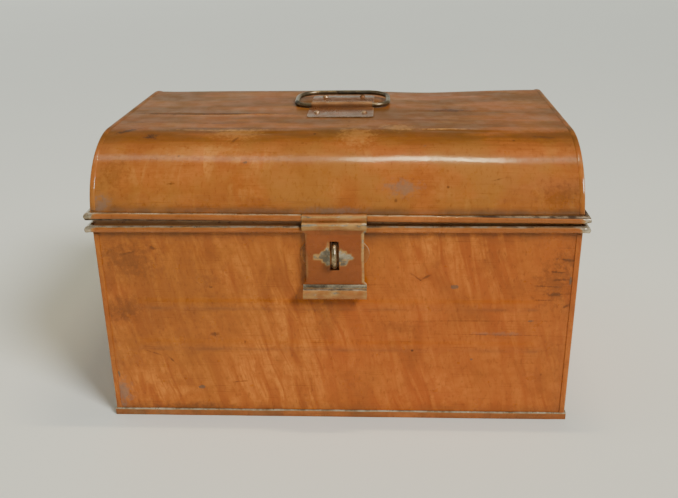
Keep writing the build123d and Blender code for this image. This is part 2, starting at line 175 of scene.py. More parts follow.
def turned_over(points, attributes):
    """The same grid with its columns the other way round, so that its faces look the other way."""
    return points[:, ::-1], {key: v[:, ::-1] for key, v in attributes.items()}


SHEET_SLOTS = 5


def sheet_object(name, points, attributes, keep=None, rolled=None, thickness=SHEET):
    """Thin sheet from a grid of points on its middle surface.

    Its faces use slot 0 outside and 1 inside, 2 where the sheet is rolled over, and 3 or 4 on cut edges.
    """
    rows, cols = points.shape[:2]
    faces, kept = grid_cells(rows, cols, keep)
    slots = [1 if rolled is not None and rolled[i] else 0 for i, _ in kept]
    used = np.unique(np.array(faces))
    lookup = np.full(rows * cols, -1)
    lookup[used] = np.arange(len(used))
    faces = [tuple(lookup[list(f)]) for f in faces]
    flat = {key: values[used] for key, values in flattened(attributes).items()}
    obj = add_object(name, points.reshape(-1, 3)[used], faces, flat, slots)
    for _ in range(SHEET_SLOTS):
        obj.data.materials.append(None)
    shell = obj.modifiers.new("thickness", "SOLIDIFY")
    shell.thickness = thickness
    shell.offset = 0
    shell.use_even_offset = True
    shell.material_offset = 1
    shell.material_offset_rim = 3
    return settle(obj)


def dress(obj, *materials):
    """Puts materials in the object's slots, in order; the last one fills any slots left over."""
    slots = obj.data.materials
    while len(slots) < len(materials):
        slots.append(None)
    for number in range(len(slots)):
        slots[number] = materials[min(number, len(materials) - 1)]


def arc(centre_out, centre_z, radius, start, stop, steps):
    """Points (out, z) on an arc, from one angle to another in degrees, counted from straight out to up."""
    angles = np.radians(np.linspace(start, stop, steps))
    return np.c_[centre_out + radius * np.cos(angles), centre_z + radius * np.sin(angles)]


def lengthwise(path):
    """Distance run along a path of (out, z) points."""
    steps = np.hypot(*np.diff(path, axis=0).T)
    return np.r_[0, np.cumsum(steps)]


def subdivided(loop, step):
    """The same closed loop with more points wherever two of them are far apart; x and y come first."""
    dense = []
    for k, (x, y, *rest) in enumerate(loop):
        x2, y2, *_ = loop[(k + 1) % len(loop)]
        count = max(1, int(hypot(x2 - x, y2 - y) / step))
        for f in np.linspace(0, 1, count, endpoint=False):
            dense.append((x + f * (x2 - x), y + f * (y2 - y), *rest))
    return dense


# ---- the sides of the body ----
FRONT, RIGHT, BACK, LEFT, LID, FOOT, LID_END, LID_SEAM, STRAP, SADDLE = range(10)  # panels of the graining
SIDES = {
    # name: (direction along the side, direction out, half length, half distance, panel)
    "front": ((1, 0, 0), (0, -1, 0), HALF_W, HALF_D, FRONT),
    "right": ((0, 1, 0), (1, 0, 0), HALF_D, HALF_W, RIGHT),
    "back": ((-1, 0, 0), (0, 1, 0), HALF_W, HALF_D, BACK),
    "left": ((0, -1, 0), (-1, 0, 0), HALF_D, HALF_W, LEFT),
}
SWAGE_Z = (80 * MM, 124 * MM)  # heights of the pressed ridges
SWAGE_HALF_W = 8 * MM
SWAGE_RISE = 1.2 * MM
SWAGE_END_GAP = 29 * MM  # from a ridge's end to the corner
SWAGE_FADE = 9 * MM
END_ROUND = 1.55 * MM  # middle-surface radius of the end panels' folded corners
ROLL_END = 130  # degrees from straight out to a roll's cut edge: down on the body, up on the lid
ROLL_STEPS = 26
WALL_STEP = 4 * MM  # between the rows of a wall
WALL_EDGE = 1.2 * MM  # strip at each end of a wall, bent round the corner on the end panels
WALL_COLUMNS = {True: 90, False: 116}  # by whether the panel is folded over the corners
EDGE_COLUMNS = 6
FOLD_COLUMNS = 2
BODY_CREST = (70, 34)  # degrees round the roll to the middle of its worn line, also a painted highlight, and the line's half width
LID_CREST = (88, 32)
WALL_WAVES = ((1.3, 95, 1), (0.35, 30, 9))  # height and size in mm, and seed


def lean(z):
    """How far a wall stands in from the rim at a height, as the body tapers downwards."""
    return TAPER * (RIM_Z - z) / RIM_Z


def swage(s, z, half_len):
    """Height of the two pressed ridges at a place on a wall."""
    rise = 0
    for centre in SWAGE_Z:
        across = np.cos(np.clip((z - centre) / SWAGE_HALF_W, -1, 1) * pi / 2) ** 2
        rise = rise + SWAGE_RISE * across
    reach = half_len - SWAGE_END_GAP
    return rise * (1 - ease(np.abs(s), reach - SWAGE_FADE, reach))


def wall_path():
    """Rows of a body wall from its foot to the tucked end of its rolled rim: heights, then roll angles."""
    fine = np.linspace(-1.15, 1.15, 15) * SWAGE_HALF_W
    rows = list(np.arange(SHEET, RIM_Z - 1 * MM, WALL_STEP))
    for centre in SWAGE_Z:
        rows = [z for z in rows if abs(z - centre) > SWAGE_HALF_W + 1 * MM]
        rows += list(centre + fine)
    return sorted(rows), np.linspace(180, -ROLL_END, ROLL_STEPS)


def body_panel(name, side, materials):
    along, out, half_len, half_out, place = SIDES[side]
    along, out = np.array(along, float), np.array(out, float)
    folded = side in ("left", "right")
    heights, angles = wall_path()
    core = np.linspace(-1, 1, WALL_COLUMNS[folded])
    edge = np.linspace(0, 1, EDGE_COLUMNS + 1)[1:]
    fold = np.linspace(0, 1, FOLD_COLUMNS + 1)[1:] if folded else np.zeros(0)
    fold_top = RIM_Z - ROLL_R - WALL_EDGE
    table, grains, wear_and_sheen_rows, dirt_and_shade_rows, keep = [], [], [], [], []
    rows = [(False, z) for z in heights] + [(True, a) for a in angles]
    run = lengthwise(arc(0, 0, ROLL_R, 180, -ROLL_END, len(angles)))
    for number, (rolled, value) in enumerate(rows):
        if rolled:
            z, t, shrink = RIM_Z + ROLL_R * sin(radians(value)), RIM_Z + run[number - len(heights)], 0
            level = half_out + RIM_OUT + ROLL_R * cos(radians(value))
            end = half_len + level - half_out
        else:
            z, t, shrink = value, value, lean(value)
            level = half_out - HALF_SHEET - shrink
            end = half_len - shrink - (0 if folded else SHEET)
        core_end = half_len - shrink - WALL_EDGE
        wrapped = folded and not rolled and z < fold_top
        s_edge, o_edge, o_fold = core_end + edge * (end - core_end), level + 0 * edge, level + 0 * fold
        if wrapped:
            s_edge = core_end + END_ROUND * np.sin(edge * pi / 2)
            o_edge = level - END_ROUND * (1 - np.cos(edge * pi / 2))
            o_fold = level - END_ROUND - fold * (LAP - END_ROUND)
        s_right, o_right = np.r_[s_edge, s_edge[-1] + 0 * fold], np.r_[o_edge, o_fold]
        s = np.r_[-s_right[::-1], core * core_end, s_right]
        o = np.r_[o_right[::-1], level + 0 * core, o_right]
        around = s + np.sign(s) * (level - o)
        if rolled:
            wear_and_sheen = roll_wear_and_sheen(value, s, half_len, *BODY_CREST)
            # painted shade on the roll's underside, and on its top and inner side in the gap under the lid
            dirt_and_shade = 0.5 * (1 - ease(value, -100, -10)) + 0.5 * ease(value, 30, 60) + 0 * s
        else:
            o = o + swage(s, z, half_len)
            wear_and_sheen = wall_wear(around, z, core_end) if wrapped else np.zeros(len(s))
            dirt_and_shade = wall_dirt_and_shade(s, z, half_len)
        table.append(s[:, None] * along + o[:, None] * out + np.array([0, 0, z]))
        grains.append(columns(around, t, place))
        wear_and_sheen_rows.append(wear_and_sheen)
        dirt_and_shade_rows.append(dirt_and_shade)
        row_keep = np.ones(len(s) - 1, bool)
        if folded and not wrapped:
            row_keep[: len(fold)] = False
            row_keep[-len(fold) :] = False
        keep.append(row_keep)
    points = np.array(table)
    s_all = points @ along
    z_all = points[..., 2]
    quiet = ease_mm(half_len - np.abs(s_all), 4, 30) * ease_mm(z_all, 8, 24) * ease_mm(RIM_Z - z_all, 6, 22)
    if side == "front":
        quiet *= ease_mm(np.hypot(s_all, z_all - staple_low.z), 40, 75)
    points = points + (quiet * waves(points, WALL_WAVES, place))[..., None] * out
    rolled = [row[0] for row in rows]
    points = batter(points, rolled)
    keep = [keep[i] & keep[i + 1] for i in range(len(keep) - 1)]
    obj = sheet_object(f"{side}_panel_sheet", points, paint_data(grains, wear_and_sheen_rows, dirt_and_shade_rows), keep, rolled)
    dress(obj, *materials)
    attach(obj, "box")
    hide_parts(name)


CUT_DEGREES = 8  # width of a roll's cut edge
BATTER = 0.95 * MM  # how far a rim's tips are knocked about


def roll_wear_and_sheen(angle, s, half_len, crest, spread):
    """Bare metal on a rolled rim: a line along its crest, which is also a painted highlight, its cut edge
    and the mitred tips.
    """
    top = np.exp(-(((angle - crest) / spread) ** 4))
    cut = 1.0 if angle < -ROLL_END + CUT_DEGREES else 0.0
    tips = ease_mm(np.abs(s) - half_len, -7, 1)
    thin = 0.25 * ease(angle, -20, 90)
    return np.clip(0.6 * top + 0.8 * cut + 0.85 * tips + thin, 0, 1)


def batter(points, rolled):
    """Knocks the mitred tips of a rolled rim about; the same place always moves the same way."""
    near = np.array(rolled, float)[:, None]
    for axis, middle in enumerate((RIM_X, RIM_Y)):
        near = near * ease_mm(np.abs(points[..., axis]) - middle, -4, 2)
    moved = points.copy()
    for axis in range(3):
        moved[..., axis] += near * BATTER * ripple(points, 3.2 * MM, 70 + axis)
    return moved


def wall_wear(around, z, core_end):
    """Rubbing along the very corner of an end panel's fold, most of it low down."""
    corner = bell(np.abs(around) - core_end, 1.4, 0.9)
    return (0.5 + 0.2 * (1 - float(ease_mm(z, 20, 60)))) * corner


def wall_dirt_and_shade(s, z, half_len):
    """Painted shade under the rim and in broken lines below the pressed ridges, and darkening at the foot
    and towards the sides.
    """
    under_rim = ease_mm(z - RIM_Z, -16, -4)
    at_foot = 1 - ease_mm(z - SEAM_H, 0, 12)
    at_side = ease_mm(np.abs(s) - half_len, -26, -4)
    under_swage = sum(bell(z - centre, -4.6, 1.9) for centre in SWAGE_Z)
    within = ease_mm(half_len - SWAGE_END_GAP - np.abs(s), 0, 8)
    broken = 0.5 + 0.5 * np.sin(s / (9 * MM) + 3 * np.sin(s / (31 * MM)))
    lines = under_swage * within * broken
    return np.clip(0.75 * under_rim + 0.55 * at_foot + 0.3 * at_side + 0.55 * lines, 0, 1)


# the bottom seam's outline, as shares of how far it stands out and of its height
SEAM_OUTLINE = (
    (0.05, 0.15), (0.05, 0.97), (0.25, 1.0), (0.75, 1.0), (0.93, 0.96), (1.0, 0.87),
    (1.0, 0.76), (1.0, 0.6), (1.0, 0.12), (0.86, 0.02), (0.2, 0.0),
)
SEAM_WORN_AND_LIT_FROM = 0.8  # share of the seam's height above which its edge is rubbed bare, also a painted highlight
SEAM_BREAK = 213 * MM  # where the front's seam is dented, near the right corner
WELD_REACH = 0.01 * MM


def bottom_seam(materials):
    """Knocked-up edge round the foot of the walls, with the floor sheet inside it."""
    half_x, half_y = tray_high.x - SEAM_OUT, tray_high.y - SEAM_OUT
    corners = []
    for sx, sy, turn in ((1, -1, -90), (1, 1, 0), (-1, 1, 90), (-1, -1, 180)):
        for a in np.radians(np.linspace(turn, turn + 90, 7)):
            corners.append((sx * half_x, sy * half_y, cos(a), sin(a)))
    ring = subdivided(corners, 5 * MM)
    leftward = ease_mm(-np.array(ring)[:, 0], -50, 200)
    rows, grains, wear_and_sheen_rows, dirt_and_shade_rows = [], [], [], []
    for u, v in SEAM_OUTLINE + SEAM_OUTLINE[:1]:
        row = []
        for x, y, nx, ny in ring:
            droop = 0.35 * MM * noise.noise(Vector((x, y, 0)) / (60 * MM)) * v
            step = 0.45 * MM * float(ease_mm(x - SEAM_BREAK, 0, 1)) if ny < -0.9 else 0
            push = SEAM_OUT * u - step * u + 0.2 * MM * u * noise.noise(Vector((x, y, 3)) / (35 * MM))
            row.append((x + nx * push, y + ny * push, SEAM_H * v - abs(droop) - step * v * 0.6))
        rows.append(row)
        grains.append([(x + y, SEAM_H * v, FOOT) for x, y, _, _ in ring])
        wear_and_sheen_rows.append(0.08 + 0.16 * leftward if v <= SEAM_WORN_AND_LIT_FROM else np.full(len(ring), 0.88))
        dirt_and_shade_rows.append(0.7 + 0.25 * leftward)
    faces, _ = grid_cells(len(rows), len(ring), wrap=True)
    attributes = flattened(paint_data(grains, wear_and_sheen_rows, dirt_and_shade_rows))
    seam = add_object("bottom_seam", np.array(rows).reshape(-1, 3), faces, attributes)
    weld = seam.modifiers.new("weld", "WELD")
    weld.merge_threshold = WELD_REACH
    settle(seam)
    dress(seam, materials[0])
    xs = np.linspace(-half_x, half_x, 60)
    ys = np.linspace(-half_y, half_y, 46)
    floor = np.array([[(x, y, 0.55 * MM) for x in xs] for y in ys])
    inner = ease_mm(half_x - np.abs(floor[..., 0]), 0, 25) * ease_mm(half_y - np.abs(floor[..., 1]), 0, 25)
    floor[..., 2] += inner * (0.25 + 0.25 * ripple(floor, 70 * MM, 4)) * MM
    clean = np.zeros(floor.shape[:2])
    base = sheet_object("floor_sheet", floor, paint_data(floor, clean, clean))
    dress(base, materials[1])
    for obj in (seam, base):
        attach(obj, "box")
    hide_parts("bottom_tray")
    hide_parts("bottom_tray")


# ---- the lid ----
FLAT_HALF = HALF_D - DOME_REACH
NOTCH_RISE = 2.9 * MM  # opening over the hasp's knuckle, above the lid's wire
NOTCH_GAP = 0.6 * MM  # between the knuckle's ends and the opening
LID_EDGE = 3 * MM  # strip at each end of the crown that has its own fine columns
LID_ROLL = np.linspace(ROLL_END, -180, ROLL_STEPS)
SAGS = (  # depth, place across and deep, half length and half width, in mm
    (2.6, 95, 105, 62, 45),
    (1.2, -130, -80, 50, 40),
    (0.4, 150, -128, 45, 30),
)
CREASES = (  # place up and over the lid, left end, right end and depth, in mm
    (181, -222, -46, 1.4),
    (104, -120, -12, 1.0),
    (108, 62, 180, 0.9),
    (196, 50, 190, 0.9),
    (150, -60, 120, 0.8),
)
CREASE_HALF_W = 3.2 * MM
LID_WAVES = ((0.6, 90, 21), (0.04, 24, 22))  # height and size in mm, and seed
ROLL_GRIME = 0.3
HASP_PRESS = 0.6 * MM  # how far the sheet behind the hasp's knuckle is pressed in
END_LEVELS = np.linspace(0, 1, 24)[1:]  # heights of the rows of a lid's end, as shares of the end's height


def high_up(z):
    """How far towards the lid's top a place is, where the varnish has aged most."""
    return ease(z, LID_Z + 52 * MM, TOP_Z - 0.5 * MM)


def by_rim(z):
    """Nearness to the lid's rim, where dirt gathers."""
    return 1 - ease_mm(z - LID_Z, 5, 12)


def normals(path):
    """Outward directions (out, z) along a path of (out, z) points."""
    tangent = np.gradient(path, axis=0)
    tangent /= np.linalg.norm(tangent, axis=1)[:, None]
    return np.c_[-tangent[:, 1], tangent[:, 0]]


def dome_path(inset, haunch_steps=44, flat_steps=50):
    """Middle line of the lid's front, top and back as (y, z), from the front rim to the back rim."""
    reach, rise = DOME_REACH - inset, DOME_RISE - inset
    angles = np.sort(np.r_[np.linspace(0, pi / 2, haunch_steps), asin(NOTCH_RISE / rise)])
    front = np.c_[-FLAT_HALF - reach * np.cos(angles), LID_Z + rise * np.sin(angles)]
    flat_y = np.linspace(-FLAT_HALF, FLAT_HALF, flat_steps)[1:-1]
    flat = np.c_[flat_y, np.full(len(flat_y), LID_Z + rise)]
    back = front[::-1] * [-1, 1]
    return np.r_[front, flat, back]


def twist(points):
    """Lets the lid's front sit askew, as its left corner has sprung up."""
    forward = np.clip(0.5 - points[..., 1] / (2 * HALF_D), 0, 1)
    moved = points.copy()
    moved[..., 2] -= LID_TWIST * points[..., 0] / HALF_W * forward
    return moved


def lid_dents(points, t):
    """Inward movement of the lid's sheet: broad sags, waves, and the creases along it."""
    x, y = points[..., 0], points[..., 1]
    sag = 0
    for depth, at_x, at_y, long, wide in SAGS:
        sag = sag + depth * MM * bell(x, at_x, long) * bell(y, at_y, wide)
    sag = sag + waves(points, LID_WAVES)
    for place, left, right, depth in CREASES:
        line = place * MM + 2.5 * MM * np.sin(x / (38 * MM))
        inside = ease_mm(x, left, left + 40) * (1 - ease_mm(x, right - 40, right))
        across = (t - line) / CREASE_HALF_W
        sag = sag - inside * depth * MM * across * np.exp(-(across**2))
    off_plate = np.clip(ease_mm(np.abs(x), 44, 68) + ease_mm(np.abs(y - 10 * MM), 66, 92), 0, 1)
    quiet = ease_mm(HALF_W - np.abs(x), 5, 26) * off_plate
    hasp_rest = (1 - ease_mm(np.abs(x), 34, 60)) * (1 - ease_mm(y + FLAT_HALF, -20, 0))
    return sag * quiet * (1 - hasp_rest) + HASP_PRESS * hasp_rest


def lid_crown(materials):
    start = arc(RIM_Y, LID_Z, ROLL_R, ROLL_END, -180, ROLL_STEPS) * [-1, 1]
    middle = dome_path(HALF_SHEET)[1:-1]
    path = np.r_[start, middle, start[::-1] * [-1, 1]]
    rolled = [True] * (ROLL_STEPS - 1) + [False] * (len(middle) + 1) + [True] * ROLL_STEPS
    run = lengthwise(path) - lengthwise(start)[-1]
    notch = hasp_high.x + NOTCH_GAP
    core_end = HALF_W - SHEET - LID_EDGE
    core = np.unique(np.r_[np.linspace(-core_end, core_end, 118), -notch, notch])
    edge = np.linspace(0, 1, 5)[1:]
    table, grains, wear_and_sheen_rows, dirt_and_shade_rows, keep = [], [], [], [], []
    aged = high_up(path[:, 1])
    for i, (y, z) in enumerate(path):
        end = HALF_W - SHEET
        if abs(y) > HALF_D - 0.2 * MM:
            end = HALF_W + abs(y) - HALF_D
        reach = core_end + edge * (end - core_end)
        x = np.r_[-reach[::-1], core, reach]
        table.append(columns(x, y, z))
        grains.append(columns(x, run[i], LID))
        from_start = min(i, len(path) - 1 - i)
        if from_start < ROLL_STEPS:
            wear_and_sheen = roll_wear_and_sheen(LID_ROLL[from_start], x, HALF_W, *LID_CREST)
            dirt_and_shade = np.full(len(x), ROLL_GRIME)
        else:
            wear_and_sheen = 0.12 * ease_mm(np.abs(x) - HALF_W, -8, 0)
            side = ease_mm(np.abs(x) - HALF_W, -30, -5)
            round_plate = bell(x, 8, 52, 4) * bell(y, 4, 72, 4)
            dirt_and_shade = np.clip(by_rim(z) + 0.35 * side + 0.12 * aged[i] + 0.4 * round_plate * aged[i], 0, 1)
        wear_and_sheen_rows.append(wear_and_sheen)
        dirt_and_shade_rows.append(dirt_and_shade)
        middle_x = (x[1:] + x[:-1]) / 2
        cut = (abs(middle_x) < notch) & (y < -FLAT_HALF) & (z < LID_Z + NOTCH_RISE - 0.01 * MM)
        keep.append(~cut)
    points = np.array(table)
    t = np.repeat(run[:, None], points.shape[1], axis=1)
    free = (1 - np.array(rolled, float)) * ease_mm(path[:, 1] - LID_Z, 3, 22)
    inward = lid_dents(points, t) * free[:, None]
    points[..., 1:] -= inward[..., None] * normals(path)[:, None, :]
    points = batter(points, rolled)
    attributes = paint_data(grains, wear_and_sheen_rows, dirt_and_shade_rows, aged=np.repeat(aged[:, None], points.shape[1], axis=1))
    obj = sheet_object("lid_crown_sheet", twist(points), attributes, keep[:-1], rolled)
    dress(obj, *materials)
    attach(obj, "lid")
    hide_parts("lid_crown")


def lid_end(side, sign, materials):
    """End of the lid: a flat panel with its rolled rim, and the seam folded over the crown's edge."""
    half = HALF_D - 0.3 * MM
    core = half * np.sin(np.linspace(-pi / 2, pi / 2, 80))
    beyond = np.clip(np.abs(core) - FLAT_HALF, 0, None) / DOME_REACH
    tall = DOME_RISE * np.sqrt(np.clip(1 - beyond**2, 0, 1)) - HALF_SHEET
    run = lengthwise(arc(0, 0, ROLL_R, ROLL_END, -180, ROLL_STEPS))
    table, grains, wear_and_sheen_rows, dirt_and_shade_rows = [], [], [], []
    for angle, distance in zip(LID_ROLL, run):
        out = HALF_W + RIM_OUT + ROLL_R * cos(radians(angle))
        y = core * (HALF_D + out - HALF_W) / half
        z = LID_Z + ROLL_R * sin(radians(angle))
        table.append(columns(out, y, z))
        grains.append(columns(y, distance - run[-1], LID_END))
        wear_and_sheen_rows.append(roll_wear_and_sheen(angle, y, HALF_D, *LID_CREST))
        dirt_and_shade_rows.append(np.full(len(y), ROLL_GRIME))
    for v in END_LEVELS:
        z = LID_Z + v * tall
        table.append(columns(HALF_W - HALF_SHEET, core, z))
        grains.append(columns(core, z - LID_Z, LID_END))
        wear_and_sheen_rows.append(np.zeros(len(core)))
        dirt_and_shade_rows.append(np.full(len(core), 0.5 * (1 - float(ease(v, 0.02, 0.2)))))
    points = np.array(table)
    rolled = [True] * ROLL_STEPS + [False] * len(END_LEVELS)
    quiet = np.r_[np.zeros(ROLL_STEPS), ease(END_LEVELS, 0.05, 0.3) * (1 - ease(END_LEVELS, 0.7, 0.95))]
    points[..., 0] += quiet[:, None] * (0.9 * MM * ripple(points, 70 * MM, 31 + sign) - 0.3 * MM)
    points = batter(points, rolled)
    points[..., 0] *= sign
    attributes = paint_data(grains, wear_and_sheen_rows, dirt_and_shade_rows)
    if sign < 0:
        points, attributes = turned_over(points, attributes)
    panel = sheet_object(f"lid_{side}_end_sheet", twist(points), attributes, None, rolled)
    dress(panel, *materials)
    seam = lid_seam(side, sign)
    dress(seam, lid_paint)
    for obj in (panel, seam):
        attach(obj, "lid")
        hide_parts(f"lid_{side}_end")


SEAM_FROM = 3.4 * MM  # height above the lid's wire at which its end seams start


def lid_seam(side, sign):
    """Fold of the end panel over the crown's edge, as one raised strip."""
    section = [(-LAP, -0.03)]
    for a in np.radians(np.linspace(10, 170, 15)):
        section.append((-LAP / 2 - LAP / 2 * cos(a), 0.8 * sin(a) ** 1.2))
    section += [(0.1 * MM, -0.6), (0.08 * MM, -2.6), (-0.5 * MM, -2.7), (-0.5 * MM, 0.03)]
    path = dome_path(0)
    path = path[path[:, 1] > LID_Z + SEAM_FROM]
    run = lengthwise(path)
    rows, grains, wear_and_sheen_rows, dirt_and_shade_rows, ages = [], [], [], [], []
    for (y, z), (ny, nz), distance in zip(path, normals(path), run):
        wobble = 1 + 0.25 * noise.noise(Vector((sign, y / (22 * MM), z / (22 * MM))))
        row, worn = [], []
        for dx, height in section:
            lift = height * MM * (wobble if height > 0.1 else 1)
            row.append((sign * (HALF_W + dx), y + ny * lift, z + nz * lift))
            worn.append(0.12 + 0.4 * float(ease_mm(dx, -1.4, -0.2) * ease(height, 0, 0.3)))
        rows.append(row)
        grains.append([(sign * dx, distance, LID_SEAM) for dx, _ in section])
        wear_and_sheen_rows.append(worn)
        old = float(high_up(z))
        dirt_and_shade_rows.append([0.2 + 0.3 * old + 0.5 * float(by_rim(z))] * len(section))
        ages.append([old] * len(section))
    count = len(section)
    faces, _ = grid_cells(len(rows), count, wrap=True)
    last = (len(rows) - 1) * count
    faces += [tuple(range(count))[::-1], tuple(range(last, last + count))]
    if sign > 0:
        faces = [f[::-1] for f in faces]
    attributes = flattened(paint_data(grains, wear_and_sheen_rows, dirt_and_shade_rows, aged=ages))
    seam = add_object(f"lid_{side}_seam", twist(np.array(rows)).reshape(-1, 3), faces, attributes)
    return settle(seam)


# ---- hasp ----
HASP_T = 0.9 * MM
HASP_HALF = hasp_high.x - 0.1 * MM
HASP_WAIST = 27.4 * MM
SLOT_HALF = 4.2 * MM
SLOT_LOW, SLOT_HIGH = 163.2 * MM, 191.7 * MM
HUMP_OUT, HUMP_Z, HUMP_R = RIM_Y + 2.3 * MM, 205.6 * MM, 3.45 * MM
HASP_OUT = RIM_Y + 4.25 * MM
CURL_R = 4.6 * MM
CURL_Z = 140.7 * MM
CURL_ROWS = 38  # rows of the strap from the start of its curl
KNUCKLE_ROWS = 62  # rows of the strap whose hollows are darkened
HASP_BEND = 2.2 * MM  # width of the strap's turned-back edges
HASP_HEM = 1.9 * MM  # how far those edges turn back
HASP_BOW = 0.4 * MM
RUB_Z = 176 * MM  # height of the middle of the patch that the staple's plate has rubbed
HUMP_CREST, KNUCKLE_CREST = 207.4, 214.5  # heights in mm of the worn lines across the strap, also painted highlights on the hump's and the knuckle's crests


def hasp_path():
    """The strap's middle line as (out, z), from its end at the lid's wire to its end inside the curl."""
    knuckle_r = hasp_high.z - LID_Z - HASP_T / 2
    path = [arc(RIM_Y, LID_Z, knuckle_r, 285, -45, 30), arc(HUMP_OUT, HUMP_Z, HUMP_R, 98, -52, 16)]
    stations = [202, 200.5, 199, 197.5, 195, 191.7, 190, 187, 184, 181, 178, 175, 172, 169, 166]
    stations += [163.2, 160, 157, 154, 151, 149.5, 148, 146, 144.5]
    path.append(np.array([(HASP_OUT, z * MM) for z in stations]))
    path.append(arc(HASP_OUT + CURL_R, CURL_Z, CURL_R, 180, 492, 34))
    path.append(np.array([(HASP_OUT + 0.93 * MM, z * MM) for z in (145.8, 146.6, 147.6, 148.8)]))
    return np.concatenate(path)


def hasp(materials):
    path = hasp_path()
    run = lengthwise(path)
    hem = np.radians(np.linspace(0, 80, 6))
    inner = np.unique(np.r_[np.linspace(-24, 24, 33) * MM, -SLOT_HALF, SLOT_HALF])
    table, grains, wear_and_sheen_rows, dirt_and_shade_rows, keep = [], [], [], [], []
    for i, (out, z) in enumerate(path):
        on_plate = abs(out - HASP_OUT) < 0.05 * MM
        flat = float(on_plate * ease_mm(z, 148, 151) * (1 - ease_mm(z, 199, 202)))
        waist = HASP_WAIST - 0.3 * MM * sin(pi * np.clip((z - 148 * MM) / (54 * MM), 0, 1))
        half = HASP_HALF + flat * (waist - HASP_HALF)
        side_x = half - HASP_BEND + HASP_BEND * (flat * np.sin(hem) + (1 - flat) * hem / hem[-1])
        side_back = flat * HASP_HEM * (1 - np.cos(hem))
        x = np.r_[-side_x[::-1], inner, side_x]
        back = np.r_[side_back[::-1], np.zeros(len(inner)), side_back]
        bow = HASP_BOW * flat * (1 - (x / half) ** 2)
        y = -(out - back + bow)
        table.append(columns(x, y, z))
        grains.append(columns(x, run[i], STRAP))
        # the turned-back edges are worn pale, the right one more as a painted highlight where the light
        # falls
        at_side = ease_mm(np.abs(x) - half, -3.4, -1.4) * np.where(x > 0, 1, 0.45)
        if on_plate:
            worn = 0.56 * at_side
            rubbed = np.abs(np.abs(x) - 7 * MM) / (15 * MM) + np.abs(z - RUB_Z) / (11 * MM)
            rubbed = rubbed + 0.35 * ripple(columns(x, y[0], z), 5 * MM, 61)
            worn = worn + 0.8 * ease(1 - rubbed, 0, 0.3) + 0.5 * bell(x, -6, 2) * bell(z, 188, 5)
        else:
            on_curl = i > len(path) - CURL_ROWS
            lap = on_curl and z > CURL_Z + CURL_R * 0.85
            spot = bell(x, 0, 3.5) * bell(z - CURL_Z, 2, 2)
            crest = bell(z, HUMP_CREST, 0.8) + bell(z, KNUCKLE_CREST, 0.7)
            worn = 0.4 + 0.1 * at_side + (0.55 if lap else 0) + (0.35 * spot if on_curl else 0.3 * crest)
        wear_and_sheen_rows.append(np.clip(worn, 0, 1))
        hollow = 0.8 if 198 * MM < z < 203 * MM or abs(z - 210 * MM) < 1.3 * MM else 0.15
        dirt_and_shade_rows.append(np.full(len(x), hollow if i < KNUCKLE_ROWS else 0.15))
        middle_x = np.abs((x[1:] + x[:-1]) / 2)
        in_slot = on_plate and SLOT_LOW + 0.1 * MM < z < SLOT_HIGH + 0.1 * MM
        keep.append(~((middle_x < SLOT_HALF) & in_slot))
    points = np.array(table)
    below_hump = 1 - ease_mm(points[..., 2], 190, 200)
    points[..., 1] -= 0.15 * MM * below_hump * ripple(points, 14 * MM, 41)
    rolled = [i > len(path) - CURL_ROWS for i in range(len(path))]
    keep = [row[::-1] for row in keep[:-1]]
    points, attributes = turned_over(points, paint_data(grains, wear_and_sheen_rows, dirt_and_shade_rows))
    obj = sheet_object("hasp_strap", points, attributes, keep, rolled, HASP_T)
    dress(obj, *materials)
    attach(obj, "hasp")
    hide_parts("hasp")


# ---- handle ----
RING_WIRE = 2.5 * MM
NEAR_CORNER, FAR_CORNER = 16 * MM, 24 * MM


def tube(name, path, radius, sides=18):
    """Closed round bar through a loop of points."""
    path = np.array(path)
    ahead = np.roll(path, -1, axis=0) - np.roll(path, 1, axis=0)
    ahead /= np.linalg.norm(ahead, axis=1)[:, None]
    up = np.cross(np.roll(ahead, 1, axis=0), np.roll(ahead, -1, axis=0)).sum(axis=0)
    up /= np.linalg.norm(up)
    rows = []
    for point, direction in zip(path, ahead):
        across = np.cross(direction, up)
        ring = []
        for a in np.linspace(0, 2 * pi, sides, endpoint=False):
            ring.append(point + radius * (cos(a) * across + sin(a) * up))
        rows.append(ring)
    rows.append(rows[0])
    rows = np.array(rows)
    faces, _ = grid_cells(len(rows), sides, wrap=True)
    obj = add_object(name, rows.reshape(-1, 3), faces)
    weld = obj.modifiers.new("weld", "WELD")
    weld.merge_threshold = WELD_REACH
    return settle(obj)


def handle_ring(material):
    half = ring_high.x - RING_WIRE
    near_y, near_z = ring_low.y + RING_WIRE, ring_low.z + RING_WIRE
    far_y, far_z = ring_high.y - RING_WIRE, ring_high.z - RING_WIRE
    deep = hypot(far_y - near_y, far_z - near_z)
    tilt = asin((far_z - near_z) / deep)
    loop = []
    near, far = (0, NEAR_CORNER), (deep, FAR_CORNER)
    for side, (depth, radius), turn in ((1, near, -90), (1, far, 0), (-1, far, 90), (-1, near, 180)):
        cx = side * (half - radius)
        cy = depth + (radius if depth == 0 else -radius)
        for a in np.radians(np.linspace(turn, turn + 90, 16)):
            loop.append((cx + radius * cos(a), cy + radius * sin(a)))
    path = []
    for x, d in subdivided(loop, 3 * MM):
        off_axis = float(ease_mm(d, 3, 20))
        bent = 0.5 * MM * off_axis * noise.noise(Vector((x, d, 0)) / (30 * MM))
        path.append((x + bent, near_y + (d + bent) * cos(tilt), near_z + d * sin(tilt) + bent * 0.4))
    ring = tube("handle_loop", path, RING_WIRE)
    dress(ring, material)
    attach(ring, "handle")
    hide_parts("handle_ring")


PLATE_T = 1.0 * MM
PLATE_GRIME = 0.25
HUMP_BORE = 2.8 * MM
HUMP_HALF = 32.8 * MM  # half the length of the hump
PLATE_CORNER = 3.5 * MM


